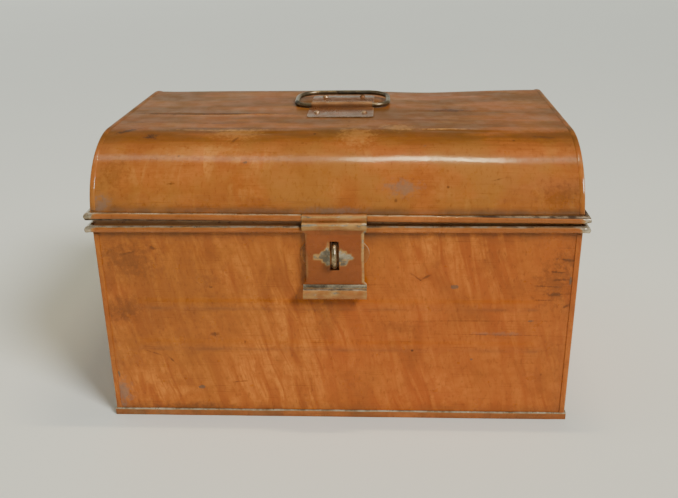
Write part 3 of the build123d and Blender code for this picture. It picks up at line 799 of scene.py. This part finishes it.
def handle_plate(materials):
    """Plate with a hump over the loop's bar; its corners are rounded and its edges a little lifted."""
    axis_y, axis_z = ring_low.y + RING_WIRE, ring_low.z + RING_WIRE
    bore = HUMP_BORE + PLATE_T / 2
    level = TOP_Z + PLATE_T / 2
    ends = (plate_low.y + 0.1 * MM, plate_high.y - 0.1 * MM)
    path = [(y, level) for y in np.linspace(ends[0], axis_y - bore - 0.1 * MM, 22)]
    start = len(path)
    for a in np.radians(np.linspace(180, 0, 22)):
        path.append((axis_y + bore * cos(a), axis_z + bore * sin(a)))
    stop = len(path)
    path += [(y, level) for y in np.linspace(axis_y + bore + 0.1 * MM, ends[1], 26)]
    path = np.array(path)
    run = lengthwise(path)
    core = np.linspace(-HUMP_HALF, HUMP_HALF, 40)
    table, grains, wear_and_sheen_rows, keep = [], [], [], []
    for i, (y, z) in enumerate(path):
        to_end = min(y - ends[0], ends[1] - y)
        end = plate_high.x - PLATE_CORNER
        end += sqrt(max(PLATE_CORNER**2 - max(PLATE_CORNER - to_end, 0) ** 2, 0))
        squeeze = min(1.0, (end - 0.2 * MM) / HUMP_HALF)
        x = np.r_[-end, core * squeeze, end]
        lift = 0.35 * MM * ripple(columns(x, y, 0), 20 * MM, 51)
        hump = start - 1 <= i <= stop
        rise = np.abs(lift) * (0.0 if hump else ease_mm(abs(y - axis_y), 8, 30))
        table.append(columns(x, y, z + rise))
        grains.append(columns(x, run[i], SADDLE))
        edge = ease_mm(np.abs(x) - end, -2, 0) + (to_end < 1.2 * MM)
        # the hump's top is worn pale, partly as a painted highlight along its crest
        crest = 0.26 * float(ease(z, axis_z - 0.5 * MM, axis_z + bore))
        wear_and_sheen_rows.append(np.clip(0.3 * edge + crest + 0.16, 0, 1))
        row = np.ones(len(x) - 1, bool)
        if start - 1 <= i < stop:
            row[0] = row[-1] = False
        keep.append(row)
    points = np.array(table)
    attributes = paint_data(grains, wear_and_sheen_rows, np.full(points.shape[:2], PLATE_GRIME))
    obj = sheet_object("handle_saddle", points, attributes, keep[:-1], None, PLATE_T)
    dress(obj, *materials)
    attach(obj, "lid")
    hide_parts("handle_plate")


# ---- materials ----
def srgb(red, green, blue):
    """Linear colour, with its alpha, from values of 0 to 255 as seen on a screen."""
    values = [v / 255 for v in (red, green, blue)]
    return tuple(v / 12.92 if v <= 0.04045 else ((v + 0.055) / 1.055) ** 2.4 for v in values) + (1.0,)


class Shade:
    """A material under construction, with short names for the nodes that it uses."""

    def __init__(self, name):
        self.material = bpy.data.materials.new(name)
        self.material.use_nodes = True
        self.tree = self.material.node_tree
        self.shader = self.tree.nodes["Principled BSDF"]

    def put(self, socket, value):
        if isinstance(value, bpy.types.NodeSocket):
            self.tree.links.new(value, socket)
        else:
            socket.default_value = value

    def node(self, kind, inputs, output=0, **settings):
        node = self.tree.nodes.new("ShaderNode" + kind)
        for key, value in settings.items():
            setattr(node, key, value)
        for key, value in inputs.items():
            self.put(node.inputs[key], value)
        return node.outputs[output]

    def attribute(self, name, output="Fac"):
        return self.node("Attribute", {}, output, attribute_name=name)

    def place(self):
        return self.node("TexCoord", {}, "Object")

    def math(self, operation, a, b=0.0):
        return self.node("Math", {0: a, 1: b}, operation=operation)

    def times(self, a, b):
        return self.math("MULTIPLY", a, b)

    def plus(self, a, b):
        return self.math("ADD", a, b)

    def minus(self, a, b):
        return self.math("SUBTRACT", a, b)

    def stretch(self, vector, scale):
        return self.node("Mapping", {"Vector": vector, "Scale": scale})

    def noise(self, vector, scale, detail=3.0, rough=0.55, bend=0.0):
        inputs = {"Vector": vector, "Scale": scale, "Detail": detail, "Roughness": rough, "Distortion": bend}
        return self.node("TexNoise", inputs)

    def ramp(self, value, low, high, start=0.0, stop=1.0):
        inputs = {"Value": value, "From Min": low, "From Max": high, "To Min": start, "To Max": stop}
        return self.node("MapRange", inputs, interpolation_type="SMOOTHSTEP")

    def blotches(self, vector, scale, detail, low, high, start=0.0, stop=1.0, rough=0.55):
        """Noise spread from start to stop where it goes from low to high."""
        return self.ramp(self.noise(vector, scale, detail, rough), low, high, start, stop)

    def patch(self, colour, tone, vector, scale, detail, low, high, amount=1.0, rough=0.55):
        """Lays a tone over a colour in soft patches."""
        return self.mix(self.blotches(vector, scale, detail, low, high, 0.0, amount, rough), colour, tone)

    def mix(self, factor, a, b):
        node = self.tree.nodes.new("ShaderNodeMix")
        node.data_type = "RGBA"
        self.put(node.inputs[0], factor)
        self.put(node.inputs[6], a)
        self.put(node.inputs[7], b)
        return node.outputs[2]

    def mark(self, vector, s, t, half_long, half_wide, turn, side, ragged, outer, inner):
        """Oval spot at a place in the grain, its outline broken by the ragged value."""
        inputs = {
            "Vector": vector,
            "Location": (s * MM, t * MM, side),
            "Rotation": (0, 0, radians(turn)),
            "Scale": (half_long * MM, half_wide * MM, 0.1),
        }
        local = self.node("Mapping", inputs, vector_type="TEXTURE")
        away = self.node("VectorMath", {0: local}, "Value", operation="LENGTH")
        return self.ramp(self.plus(away, ragged), outer, inner)

    def finish(self, colour, metallic, rough, height, strength, distance):
        self.put(self.shader.inputs["Base Color"], colour)
        self.put(self.shader.inputs["Metallic"], metallic)
        self.put(self.shader.inputs["Roughness"], rough)
        bump = self.node("Bump", {"Strength": strength, "Distance": distance, "Height": height})
        self.tree.links.new(bump, self.shader.inputs["Normal"])
        self.tree.links.new(bump, self.shader.inputs["Coat Normal"])
        return self.material


BARE_METALS = ((98, 84, 70), (172, 162, 146))  # from dull to bright, as seen on a screen

# marks in the paint, by panel, some of them painted shade: place along and up it, half length, half width,
# turn
CHIPS = {
    FRONT: (
        (113, 143, 4.5, 2.6, 0), (186, 108, 3.6, 1.1, 0), (131, 66, 2.2, 1.6, 0), (-137, 32, 4.2, 2.2, 8),
        (-219, 46, 1.2, 3.5, 0), (221, 150, 1.4, 5, 0),
    ),
    LID: (
        (-84, 52, 2.6, 1.7, 0), (84, 75, 2, 2, 0),
    ),
}
STROKES = {
    FRONT: (
        (77, 153, 6, 0.9, -38), (85, 153, 6.5, 1.1, 30), (216, 171, 10, 1.3, -6), (206, 159, 9, 0.9, -4),
        (213, 151, 8, 1.5, 3), (200, 144, 12, 0.8, -3), (210, 136, 13, 1.9, 4), (196, 130, 8, 0.9, 0),
        (219, 124, 4, 1.6, 30), (-96, 39, 9, 0.8, 6), (-180, 70, 10, 0.8, -20), (-164, 63, 7, 0.8, -50),
        (124, 107.5, 88, 0.45, 0.4), (150, 93, 60, 0.4, -0.6), (-174, 182, 5, 1.8, -20),
        (-197, 177, 7, 1.4, 12), (-90, 84, 1.5, 1.5, 0), (-120, 92, 5, 2.4, 10), (-120, 142, 3, 2, 0),
    ),
    LID: (
        # the first three, long lines are painted shade along the lid's creases
        (60, 152, 60, 1.2, 1), (150, 176, 60, 1.2, -1), (110, 118, 50, 1, 1.5), (-152, 30, 4, 1.2, 0),
        (57, 16, 1.4, 2.2, 0), (-97, 84, 2, 7, -24), (150, 36, 7, 0.8, 16),
    ),
}
# stains also have a colour, as seen on a screen, and last a strength; some are painted shade and some
# painted highlights
STAINS_AND_PAINTED_LIGHT = {
    FRONT: {
        (104, 60, 28): (
            (-206, 118, 22, 14, 15, 0.5), (-196, 170, 34, 20, -12, 0.45), (-120, 150, 14, 7, 0, 0.3),
            (-150, 9, 60, 6, 0, 0.6), (206, 146, 20, 26, 0, 0.5), (216, 170, 12, 10, 0, 0.4),
            # the last, broad mark on the next line is painted shade over the left of the front
            (60, 100, 30, 8, 0, 0.3), (-10, 112, 14, 20, 0, 0.3), (-180, 140, 90, 90, 0, 0.2),
        ),
        (124, 100, 84): (
            (-218, 26, 11, 18, 0, 0.75), (158, 94, 26, 2.2, 0, 0.4),
        ),
    },
    LID: {
        (62, 44, 34): (
            # the three longest, thinnest marks here are painted shade along the lid's creases; the rest are
            # dark smudges
            (117, 199, 22, 8, -6, 0.95), (-136, 182, 96, 2.2, 0.3, 0.75), (-124, 140, 92, 2, 0.6, 0.6),
            (-110, 117, 74, 1.8, -1, 0.6), (196, 92, 14, 2, -8, 0.6), (-180, 91, 6.5, 7, 30, 0.9),
            (-205, 104, 15, 4, 42, 0.8),
        ),
        (104, 60, 28): (
            (205, 24, 24, 14, 0, 0.45), (-206, 40, 14, 22, 0, 0.4), (196, 96, 26, 16, 0, 0.4),
            (117, 197, 30, 8, 0, 0.35), (-60, 165, 70, 6, 0, 0.35), (90, 150, 60, 5, 0, 0.3),
            (8, 172, 60, 20, 0, 0.45),
        ),
        (124, 100, 84): (
            (62, 28, 18, 9, 0, 0.6), (-218, 11, 10, 9, 0, 0.7), (0, 6, 34, 4, 0, 0.5),
            (-150, 195, 40, 10, 0, 0.4), (205, 158, 16, 14, 0, 0.3),
        ),
        (214, 154, 84): (
            (-97, 100, 26, 16, 0, 0.25), (20, 95, 20, 24, 0, 0.25), (60, 118, 18, 14, 0, 0.25),
            # the three long thin strips on this line and the next are painted highlights along the lid's
            # creases
            (-130, 66, 40, 10, 6, 0.2), (104, 111, 36, 1.3, 2, 0.8), (-110, 109, 60, 1.2, -1, 0.5),
            (-130, 177, 80, 1.8, 0.3, 0.4),
        ),
    },
}


def wood_grain(shade, layout, grain, place):
    """Broad combed bands and thin lines of the graining, bent by a slow wander."""
    wander = shade.node("TexNoise", {"Vector": place, "Scale": 11.0, "Detail": 2.0}, "Color")
    centred = shade.node("VectorMath", {0: wander, 1: (0.5, 0.5, 0.5)}, operation="SUBTRACT")
    bend = shade.node("VectorMath", {0: centred, "Scale": 0.02}, operation="SCALE")
    bent = shade.node("VectorMath", {0: grain, 1: bend}, operation="ADD")
    if layout == "slanted":
        turned = shade.node("Mapping", {"Vector": bent, "Rotation": (0, 0, radians(-14))})
        bands = shade.noise(shade.stretch(turned, (1, 0.11, 1)), 112, 3.5, 0.55, 0.8)
        lines = shade.noise(shade.stretch(turned, (1, 0.08, 1)), 260, 3, 0.55, 0.5)
    else:
        bands = shade.noise(shade.stretch(bent, (0.05, 1, 1)), 84, 3, 0.55, 0.25)
        lines = shade.noise(shade.stretch(bent, (0.022, 1, 1)), 330, 3, 0.6)
    return bent, bands, lines


# tones that age, dirt and rubbing bring to the paint; the dirt tone also paints shade, and the scratch tone
# also paints the shade along the lid's creases
GOLDEN, OLIVE, SMEAR = srgb(214, 146, 70), srgb(158, 104, 46), srgb(94, 62, 20)
FLAME, CLOUD, BRUSHED = srgb(186, 82, 20), srgb(130, 70, 26), srgb(104, 54, 20)
LINE, DIRT_AND_SHADE, FLECK, SPECK = srgb(92, 52, 24), srgb(98, 68, 42), srgb(112, 60, 24), srgb(66, 36, 18)
PRIMER, SCRATCH_AND_CREASE_SHADE, CHIPPED = srgb(122, 86, 52), srgb(78, 46, 24), srgb(92, 78, 62)
RUST, PIT = srgb(84, 48, 28), srgb(52, 36, 26)


def lid_figure(shade, colour, bent, grain, place, aged):
    """Light flames in the lid's graining below its top, and long dark lines on its top."""
    figure = shade.noise(shade.stretch(bent, (1, 0.2, 1)), 72, 3, 0.5, 0.9)
    figure = shade.times(shade.ramp(figure, 0.5, 0.64), shade.ramp(aged, 0.5, 0.0))
    figure = shade.times(figure, shade.blotches(place, 14, 2, 0.42, 0.6, 0.0, 0.42))
    colour = shade.mix(figure, colour, GOLDEN)
    lines = shade.blotches(shade.stretch(grain, (0.012, 1, 1)), 210, 3, 0.53, 0.66, rough=0.6)
    return shade.mix(shade.times(shade.times(lines, aged), 0.6), colour, LINE)


def lid_ageing(shade, colour, bent, place, aged):
    """Olive patches in the lid's varnish, and brown smears along its top."""
    colour = shade.patch(colour, OLIVE, place, 17, 4, 0.4, 0.62, 0.7, 0.6)
    smears = shade.blotches(shade.stretch(bent, (0.22, 1, 1)), 34, 4, 0.34, 0.62, 0.4, 0.92, 0.6)
    return shade.mix(shade.times(aged, smears), colour, SMEAR)


def add_marks(shade, colour, grain, place, panel):
    """Stains, scratches and chips of one panel, with painted shade and painted highlights among them, their
    outlines ragged.
    """
    ragged = shade.blotches(place, 210, 5, 0.3, 0.7, -0.5, 0.5, 0.7)
    marks = []
    for tone, toned_marks in STAINS_AND_PAINTED_LIGHT[panel].items():
        marks += [(toned_mark[:5], toned_mark[5], srgb(*tone), 1.2, 0.1) for toned_mark in toned_marks]
    marks += [(stroke, 0.62, SCRATCH_AND_CREASE_SHADE, 1.25, 0.2) for stroke in STROKES[panel]]
    marks += [(chip, 0.75, CHIPPED, 1.0, 0.6) for chip in CHIPS[panel]]
    for shape, strength, tone, outer, inner in marks:
        spot = shade.mark(grain, *shape, panel, ragged, outer, inner)
        colour = shade.mix(shade.times(spot, strength), colour, tone)
    return colour


def rare_specks(shade, place):
    """Small round specks, in a few of the noise's cells and in some areas only."""
    specks = shade.node("TexVoronoi", {"Vector": place, "Scale": 95.0}, "Distance")
    cells = shade.node("TexVoronoi", {"Vector": place, "Scale": 95.0}, "Color")
    chosen = shade.ramp(shade.node("SeparateColor", {"Color": cells}, 0), 0.86, 0.92)
    speck = shade.times(shade.ramp(specks, 0.2, 0.07), chosen)
    return shade.times(speck, shade.blotches(place, 12, 2, 0.47, 0.6, 0.0, 0.8))


# how the varnish shines, on the walls and on the lid
SHINE = {
    False: {"specular": 0.16, "coat_rough": 0.12, "bump": 0.45},
    True: {"specular": 0.08, "coat_rough": 0.1, "bump": 0.36},
}


def paint(name, layout, light, dark, deep, thinned, rough=0.33, marks=None, local=False, breakup=0.22,
          metals=BARE_METALS, coat=0.3):
    """Wood-grained paint under old varnish, rubbed thin and then bare where the wear is.

    A slanted layout is combed across a wall and one along runs lengthwise. marks names the panel whose marks
    it has. A local paint is grained by place alone and worn where it doesn't face the front.
    """
    light, dark, deep, thinned, dull, bright = (srgb(*c) for c in (light, dark, deep, thinned, *metals))
    shade = Shade(name)
    on_lid = marks == LID
    shine = SHINE[on_lid]
    place = shade.place()
    grain = place if local else shade.attribute("grain", "Vector")
    aged = shade.attribute("aged")
    bent, bands, lines = wood_grain(shade, layout, grain, place)
    streak = shade.ramp(bands, 0.3, 0.68)
    if on_lid:
        contrast = shade.ramp(aged, 0, 1, 0.5, 1.0)
        streak = shade.plus(shade.times(shade.minus(streak, 0.5), contrast), 0.5)
    colour = shade.mix(streak, dark, light)
    colour = shade.mix(shade.ramp(lines, 0.54, 0.66, 0.0, 0.5), colour, dark)
    if on_lid:
        colour = lid_figure(shade, colour, bent, grain, place, aged)
    colour = shade.patch(colour, dark, place, 95, 5, 0.4, 0.66, 0.62, 0.7)
    colour = shade.patch(colour, deep, place, 9, 3, 0.4, 0.66, 0.6)
    flame = shade.mix(0.5, colour, FLAME)
    colour = shade.patch(colour, flame, place, 3.6, 2, 0.46, 0.64, 0.7 if layout == "slanted" else 0.3)
    if on_lid:
        colour = lid_ageing(shade, colour, bent, place, aged)
    colour = shade.patch(colour, CLOUD, place, 23, 5, 0.46, 0.72, 0.5, 0.62)
    colour = shade.patch(colour, BRUSHED, shade.stretch(grain, (0.022, 1, 1)), 900, 3, 0.58, 0.72, 0.45, 0.6)
    # dirt, with painted shade under the walls' rims, below their pressed ridges and round the body's roll
    dirt_and_shade = shade.times(shade.attribute("dirt_and_shade"), shade.blotches(place, 42, 4, 0.32, 0.62, 0.45, 1.0))
    colour = shade.mix(shade.times(dirt_and_shade, 0.74), colour, DIRT_AND_SHADE)
    colour = shade.patch(colour, FLECK, shade.stretch(grain, (1, 0.45, 1)), 330, 4, 0.52, 0.7, 0.42, 0.65)
    colour = shade.mix(rare_specks(shade, place), colour, SPECK)
    if local:
        facing = shade.node("SeparateXYZ", {"Vector": shade.node("TexCoord", {}, "Normal")}, "Y")
        wear_and_sheen = shade.ramp(shade.math("ABSOLUTE", facing), 0.95, 0.3)
    else:
        wear_and_sheen = shade.attribute("wear_and_sheen")
    flaking = shade.noise(shade.stretch(grain, (0.4, 1, 1)), 250, 5, 0.65)
    # the paint thins and goes bare with this mask, which also paints highlights on crests and edges
    soft_wear_and_sheen = shade.plus(wear_and_sheen, shade.blotches(place, 45, 4, 0.3, 0.7, -0.12, 0.12))
    thin = shade.ramp(soft_wear_and_sheen, 0.16, 0.66, 0.0, 0.85)
    streaky = shade.mix(shade.ramp(flaking, 0.35, 0.65, 0.0, 0.55), thinned, PRIMER)
    colour = shade.mix(thin, colour, streaky)
    broken = shade.plus(soft_wear_and_sheen, shade.ramp(flaking, 0.3, 0.7, -breakup, breakup))
    bare = shade.ramp(broken, 0.6, 0.78)
    if marks is not None:
        colour = add_marks(shade, colour, grain, place, marks)
    colour = shade.mix(bare, colour, shade.patch(dull, bright, place, 75, 5, 0.36, 0.64, rough=0.65))
    gloss = shade.blotches(place, 60, 4, 0.3, 0.7, rough - 0.06, rough + 0.1)
    gloss = shade.plus(gloss, shade.times(aged, 0.22))
    height = shade.plus(shade.times(bands, 0.5), shade.noise(place, 520, 3, 0.6))
    height = shade.minus(height, shade.times(bare, 0.7))
    height = shade.plus(height, shade.times(shade.noise(place, 160, 2), 0.7))
    shade.put(shade.shader.inputs["Specular IOR Level"], shine["specular"])
    polish = shade.times(shade.ramp(aged, 0, 1, 1.0, 0.12), coat) if on_lid else coat
    shade.put(shade.shader.inputs["Coat Weight"], polish)
    shade.put(shade.shader.inputs["Coat Roughness"], shine["coat_rough"])
    metallic = shade.plus(shade.times(bare, 0.4), shade.times(thin, 0.2))
    return shade.finish(colour, metallic, gloss, height, shine["bump"], 0.22 * MM)


def lacquer(name, colour, worn, rough=0.5):
    """Thin brown lacquer on tinned sheet, for the inside and the underside."""
    shade = Shade(name)
    place = shade.place()
    cloudy = shade.blotches(place, 11, 5, 0.36, 0.7, 0.0, 0.4, 0.6)
    scuffed = shade.blotches(shade.stretch(place, (0.3, 1, 1)), 150, 5, 0.52, 0.72, 0.0, 0.6, 0.7)
    patches = shade.math("MAXIMUM", cloudy, scuffed)
    tone = shade.mix(patches, srgb(*colour), srgb(*worn))
    tone = shade.mix(shade.times(shade.blotches(place, 240, 3, 0.62, 0.72), 0.7), tone, RUST)
    gloss = shade.blotches(place, 80, 3, 0.3, 0.7, rough - 0.1, rough + 0.15)
    return shade.finish(tone, shade.times(patches, 0.5), gloss, shade.noise(place, 300, 3), 0.25, 0.2 * MM)


def steel(name, bright, dull, rough=0.34, metallic=0.9, scale=90):
    """Old steel: rubbed bright in places, brown and pitted in others."""
    shade = Shade(name)
    place = shade.place()
    patches = shade.blotches(place, scale, 5, 0.38, 0.64, rough=0.62)
    pits = shade.blotches(place, scale * 6, 3, 0.58, 0.7)
    colour = shade.mix(shade.times(pits, 0.7), shade.mix(patches, srgb(*bright), srgb(*dull)), PIT)
    gloss = shade.ramp(patches, 0, 1, rough, rough + 0.22)
    height = shade.minus(shade.noise(place, scale * 3, 3), shade.times(pits, 0.8))
    return shade.finish(colour, metallic, gloss, height, 0.4, 0.12 * MM)


def backdrop(name, colour):
    """Matt floor with a faint cloudiness."""
    shade = Shade(name)
    place = shade.place()
    tone = shade.patch(colour, srgb(236, 238, 232), place, 2.2, 3, 0.35, 0.65, 0.25)
    return shade.finish(tone, 0.0, 0.7, shade.noise(place, 60, 3), 0.05, 1 * MM)


# ---- dressing the trunk ----
OCHRE = (196, 140, 78)
RUBBED_AND_SHEEN = ((128, 110, 88), (196, 184, 160))  # metal that is rubbed often, made pale also to paint the highlights on the rims
HASP_METAL = ((104, 94, 80), (180, 168, 146))
wall_paint = paint("grained_wall", "slanted", (209, 121, 43), (158, 79, 24), (162, 94, 32), OCHRE,
                   marks=FRONT)
lid_paint = paint("grained_lid", "along", (190, 110, 48), (154, 84, 34), (158, 96, 44), OCHRE, 0.3,
                  marks=LID, coat=0.7)
rim_paint = paint("grained_rim", "along", (196, 116, 54), (150, 84, 38), (158, 96, 46), (178, 132, 84), 0.3,
                  breakup=0.12, metals=RUBBED_AND_SHEEN)
hasp_paint = paint("hasp_red_brown", "along", (170, 90, 40), (140, 68, 28), (134, 74, 34), (186, 148, 92),
                   0.28, coat=0.2, metals=HASP_METAL)
saddle_paint = paint("saddle_brown", "along", (122, 82, 52), (92, 60, 40), (84, 60, 42), (168, 124, 84), 0.3,
                     metals=RUBBED_AND_SHEEN, coat=0.12)
plate_paint = paint("grained_plate", "along", (176, 106, 48), (140, 80, 34), (148, 92, 42), OCHRE, 0.3,
                    local=True, metals=RUBBED_AND_SHEEN)
inside = lacquer("inside_lacquer", (96, 70, 44), (140, 126, 102))
lip_lacquer = lacquer("lip_lacquer", (150, 100, 58), (160, 136, 104), 0.4)
under = lacquer("underside_lacquer", (56, 44, 36), (92, 80, 66), 0.6)
cut_edge = steel("cut_edge", (150, 132, 108), (88, 62, 42), 0.4, 0.7)
handle_steel = steel("handle_steel", (120, 104, 80), (66, 62, 52), 0.3, 0.75, 34)
staple_steel = steel("staple_steel", (186, 170, 140), (104, 84, 60), 0.28, 0.95, 120)
wire_steel = steel("wire_steel", (120, 106, 90), (70, 56, 46), 0.45, 0.9)
tinned = steel("tinned_steel", (170, 164, 152), (142, 132, 118), 0.36, 0.9, 50)
rivet_steel = steel("rivet_steel", (190, 158, 126), (110, 76, 52), 0.3, 0.8, 200)

wall_set = (wall_paint, inside, rim_paint, wall_paint, cut_edge)
body_panel("front_panel", "front", wall_set)
body_panel("right_end_panel", "right", wall_set)
body_panel("back_panel", "back", wall_set)
body_panel("left_end_panel", "left", wall_set)
bottom_seam((rim_paint, under))
lid_set = (lid_paint, inside, rim_paint, cut_edge, cut_edge)
lid_crown(lid_set)
lid_end("left", -1, wall_set)
lid_end("right", 1, wall_set)
hasp((hasp_paint, tinned, hasp_paint, cut_edge, cut_edge))
handle_ring(handle_steel)
handle_plate((saddle_paint, cut_edge, saddle_paint, cut_edge, cut_edge))

CAD_LOOKS = {
    "staple": staple_steel,
    "staple_plate": plate_paint,
    "staple_clinch_plate": tinned,
    "front_dust_lip": lip_lacquer,
    "left_dust_lip": lip_lacquer,
    "right_dust_lip": lip_lacquer,
    "body_rim_wire": wire_steel,
    "lid_rim_wire": wire_steel,
    "handle_rivets": rivet_steel,
    "handle_rivet_burrs": tinned,
}
for side in ("left", "right"):
    CAD_LOOKS[f"{side}_hinge_body_leaf"] = tinned
    CAD_LOOKS[f"{side}_hinge_lid_leaf"] = tinned
    CAD_LOOKS[f"{side}_hinge_pin"] = wire_steel
    CAD_LOOKS[f"{side}_hinge_body_rivets"] = rivet_steel
    CAD_LOOKS[f"{side}_hinge_lid_rivets"] = rivet_steel
for node, material in CAD_LOOKS.items():
    dress(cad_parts[node], material)


# ---- floor, light and camera ----
def floor():
    """Pale floor that turns up far away into a low wall all round."""
    flat, turn, wall = 7.0, 2.5, 2.0
    radii = np.r_[np.linspace(0.02, 1.0, 8), np.linspace(1.4, flat, 15)]
    profile = [(r, 0.0) for r in radii]
    profile += [(flat + turn * sin(a), turn * (1 - cos(a))) for a in np.linspace(0, pi / 2, 13)[1:]]
    profile.append((flat + turn, turn + wall))
    spokes = np.linspace(0, 2 * pi, 96, endpoint=False)
    points = np.array([[(r * cos(a), r * sin(a), z) for a in spokes] for r, z in profile])
    faces, _ = grid_cells(len(profile), len(spokes), wrap=True)
    faces = [f[::-1] for f in faces] + [tuple(range(len(spokes)))]
    obj = add_object("floor", points.reshape(-1, 3), faces)
    obj.data.polygons.foreach_set("use_smooth", np.ones(len(obj.data.polygons), bool))
    dress(obj, backdrop("floor_grey", srgb(238, 242, 234)))


def light(name, kind, place, aim, power, colour, **settings):
    """Adds a light turned from its place to its aim; the settings are those of its kind."""
    data = bpy.data.lights.new(name, kind)
    data.energy = power
    data.color = colour
    for key, value in settings.items():
        setattr(data, key, value)
    lamp = bpy.data.objects.new(name, data)
    lamp.location = place
    lamp.rotation_euler = (Vector(aim) - Vector(place)).to_track_quat("-Z", "Y").to_euler()
    bpy.context.scene.collection.objects.link(lamp)


def sky(colour, strength):
    world = bpy.data.worlds.new("studio")
    world.use_nodes = True
    background = world.node_tree.nodes["Background"]
    background.inputs["Color"].default_value = colour
    background.inputs["Strength"].default_value = strength
    bpy.context.scene.world = world


def camera():
    """The photograph's viewpoint: about 20 degrees down, a little from the right."""
    pitch, yaw, roll = radians(20.56), radians(-3.06), radians(-0.92)
    place = Vector((0.046, -0.9628, 0.4775))
    forward = Vector((sin(yaw) * cos(pitch), cos(yaw) * cos(pitch), -sin(pitch)))
    level = Vector((cos(yaw), -sin(yaw), 0))
    upright = level.cross(forward)
    right = cos(roll) * level + sin(roll) * upright
    up = -sin(roll) * level + cos(roll) * upright
    data = bpy.data.cameras.new("view")
    data.lens = 47.79
    data.sensor_width = 36
    data.clip_start = 0.02
    obj = bpy.data.objects.new("view", data)
    obj.matrix_world = Matrix.Translation(place) @ Matrix((right, up, -forward)).transposed().to_4x4()
    bpy.context.scene.collection.objects.link(obj)
    bpy.context.scene.camera = obj


floor()
sky(srgb(196, 202, 196), 0.3)
light("window", "SUN", (1.25, -1.25, 1.45), (0, 0, 0), 2.95, (1.0, 0.98, 0.94), angle=0.34)
light("ceiling", "AREA", (0.17, -0.08, 1.5), (0.17, -0.1, 0.2), 5.5, (1.0, 0.78, 0.42),
      shape="RECTANGLE", size=0.34, size_y=0.03)
light("ceiling_glow", "AREA", (0.0, -0.05, 2.0), (0.0, -0.1, 0.2), 6, (1.0, 0.88, 0.72),
      shape="RECTANGLE", size=2.6, size_y=0.3)
camera()
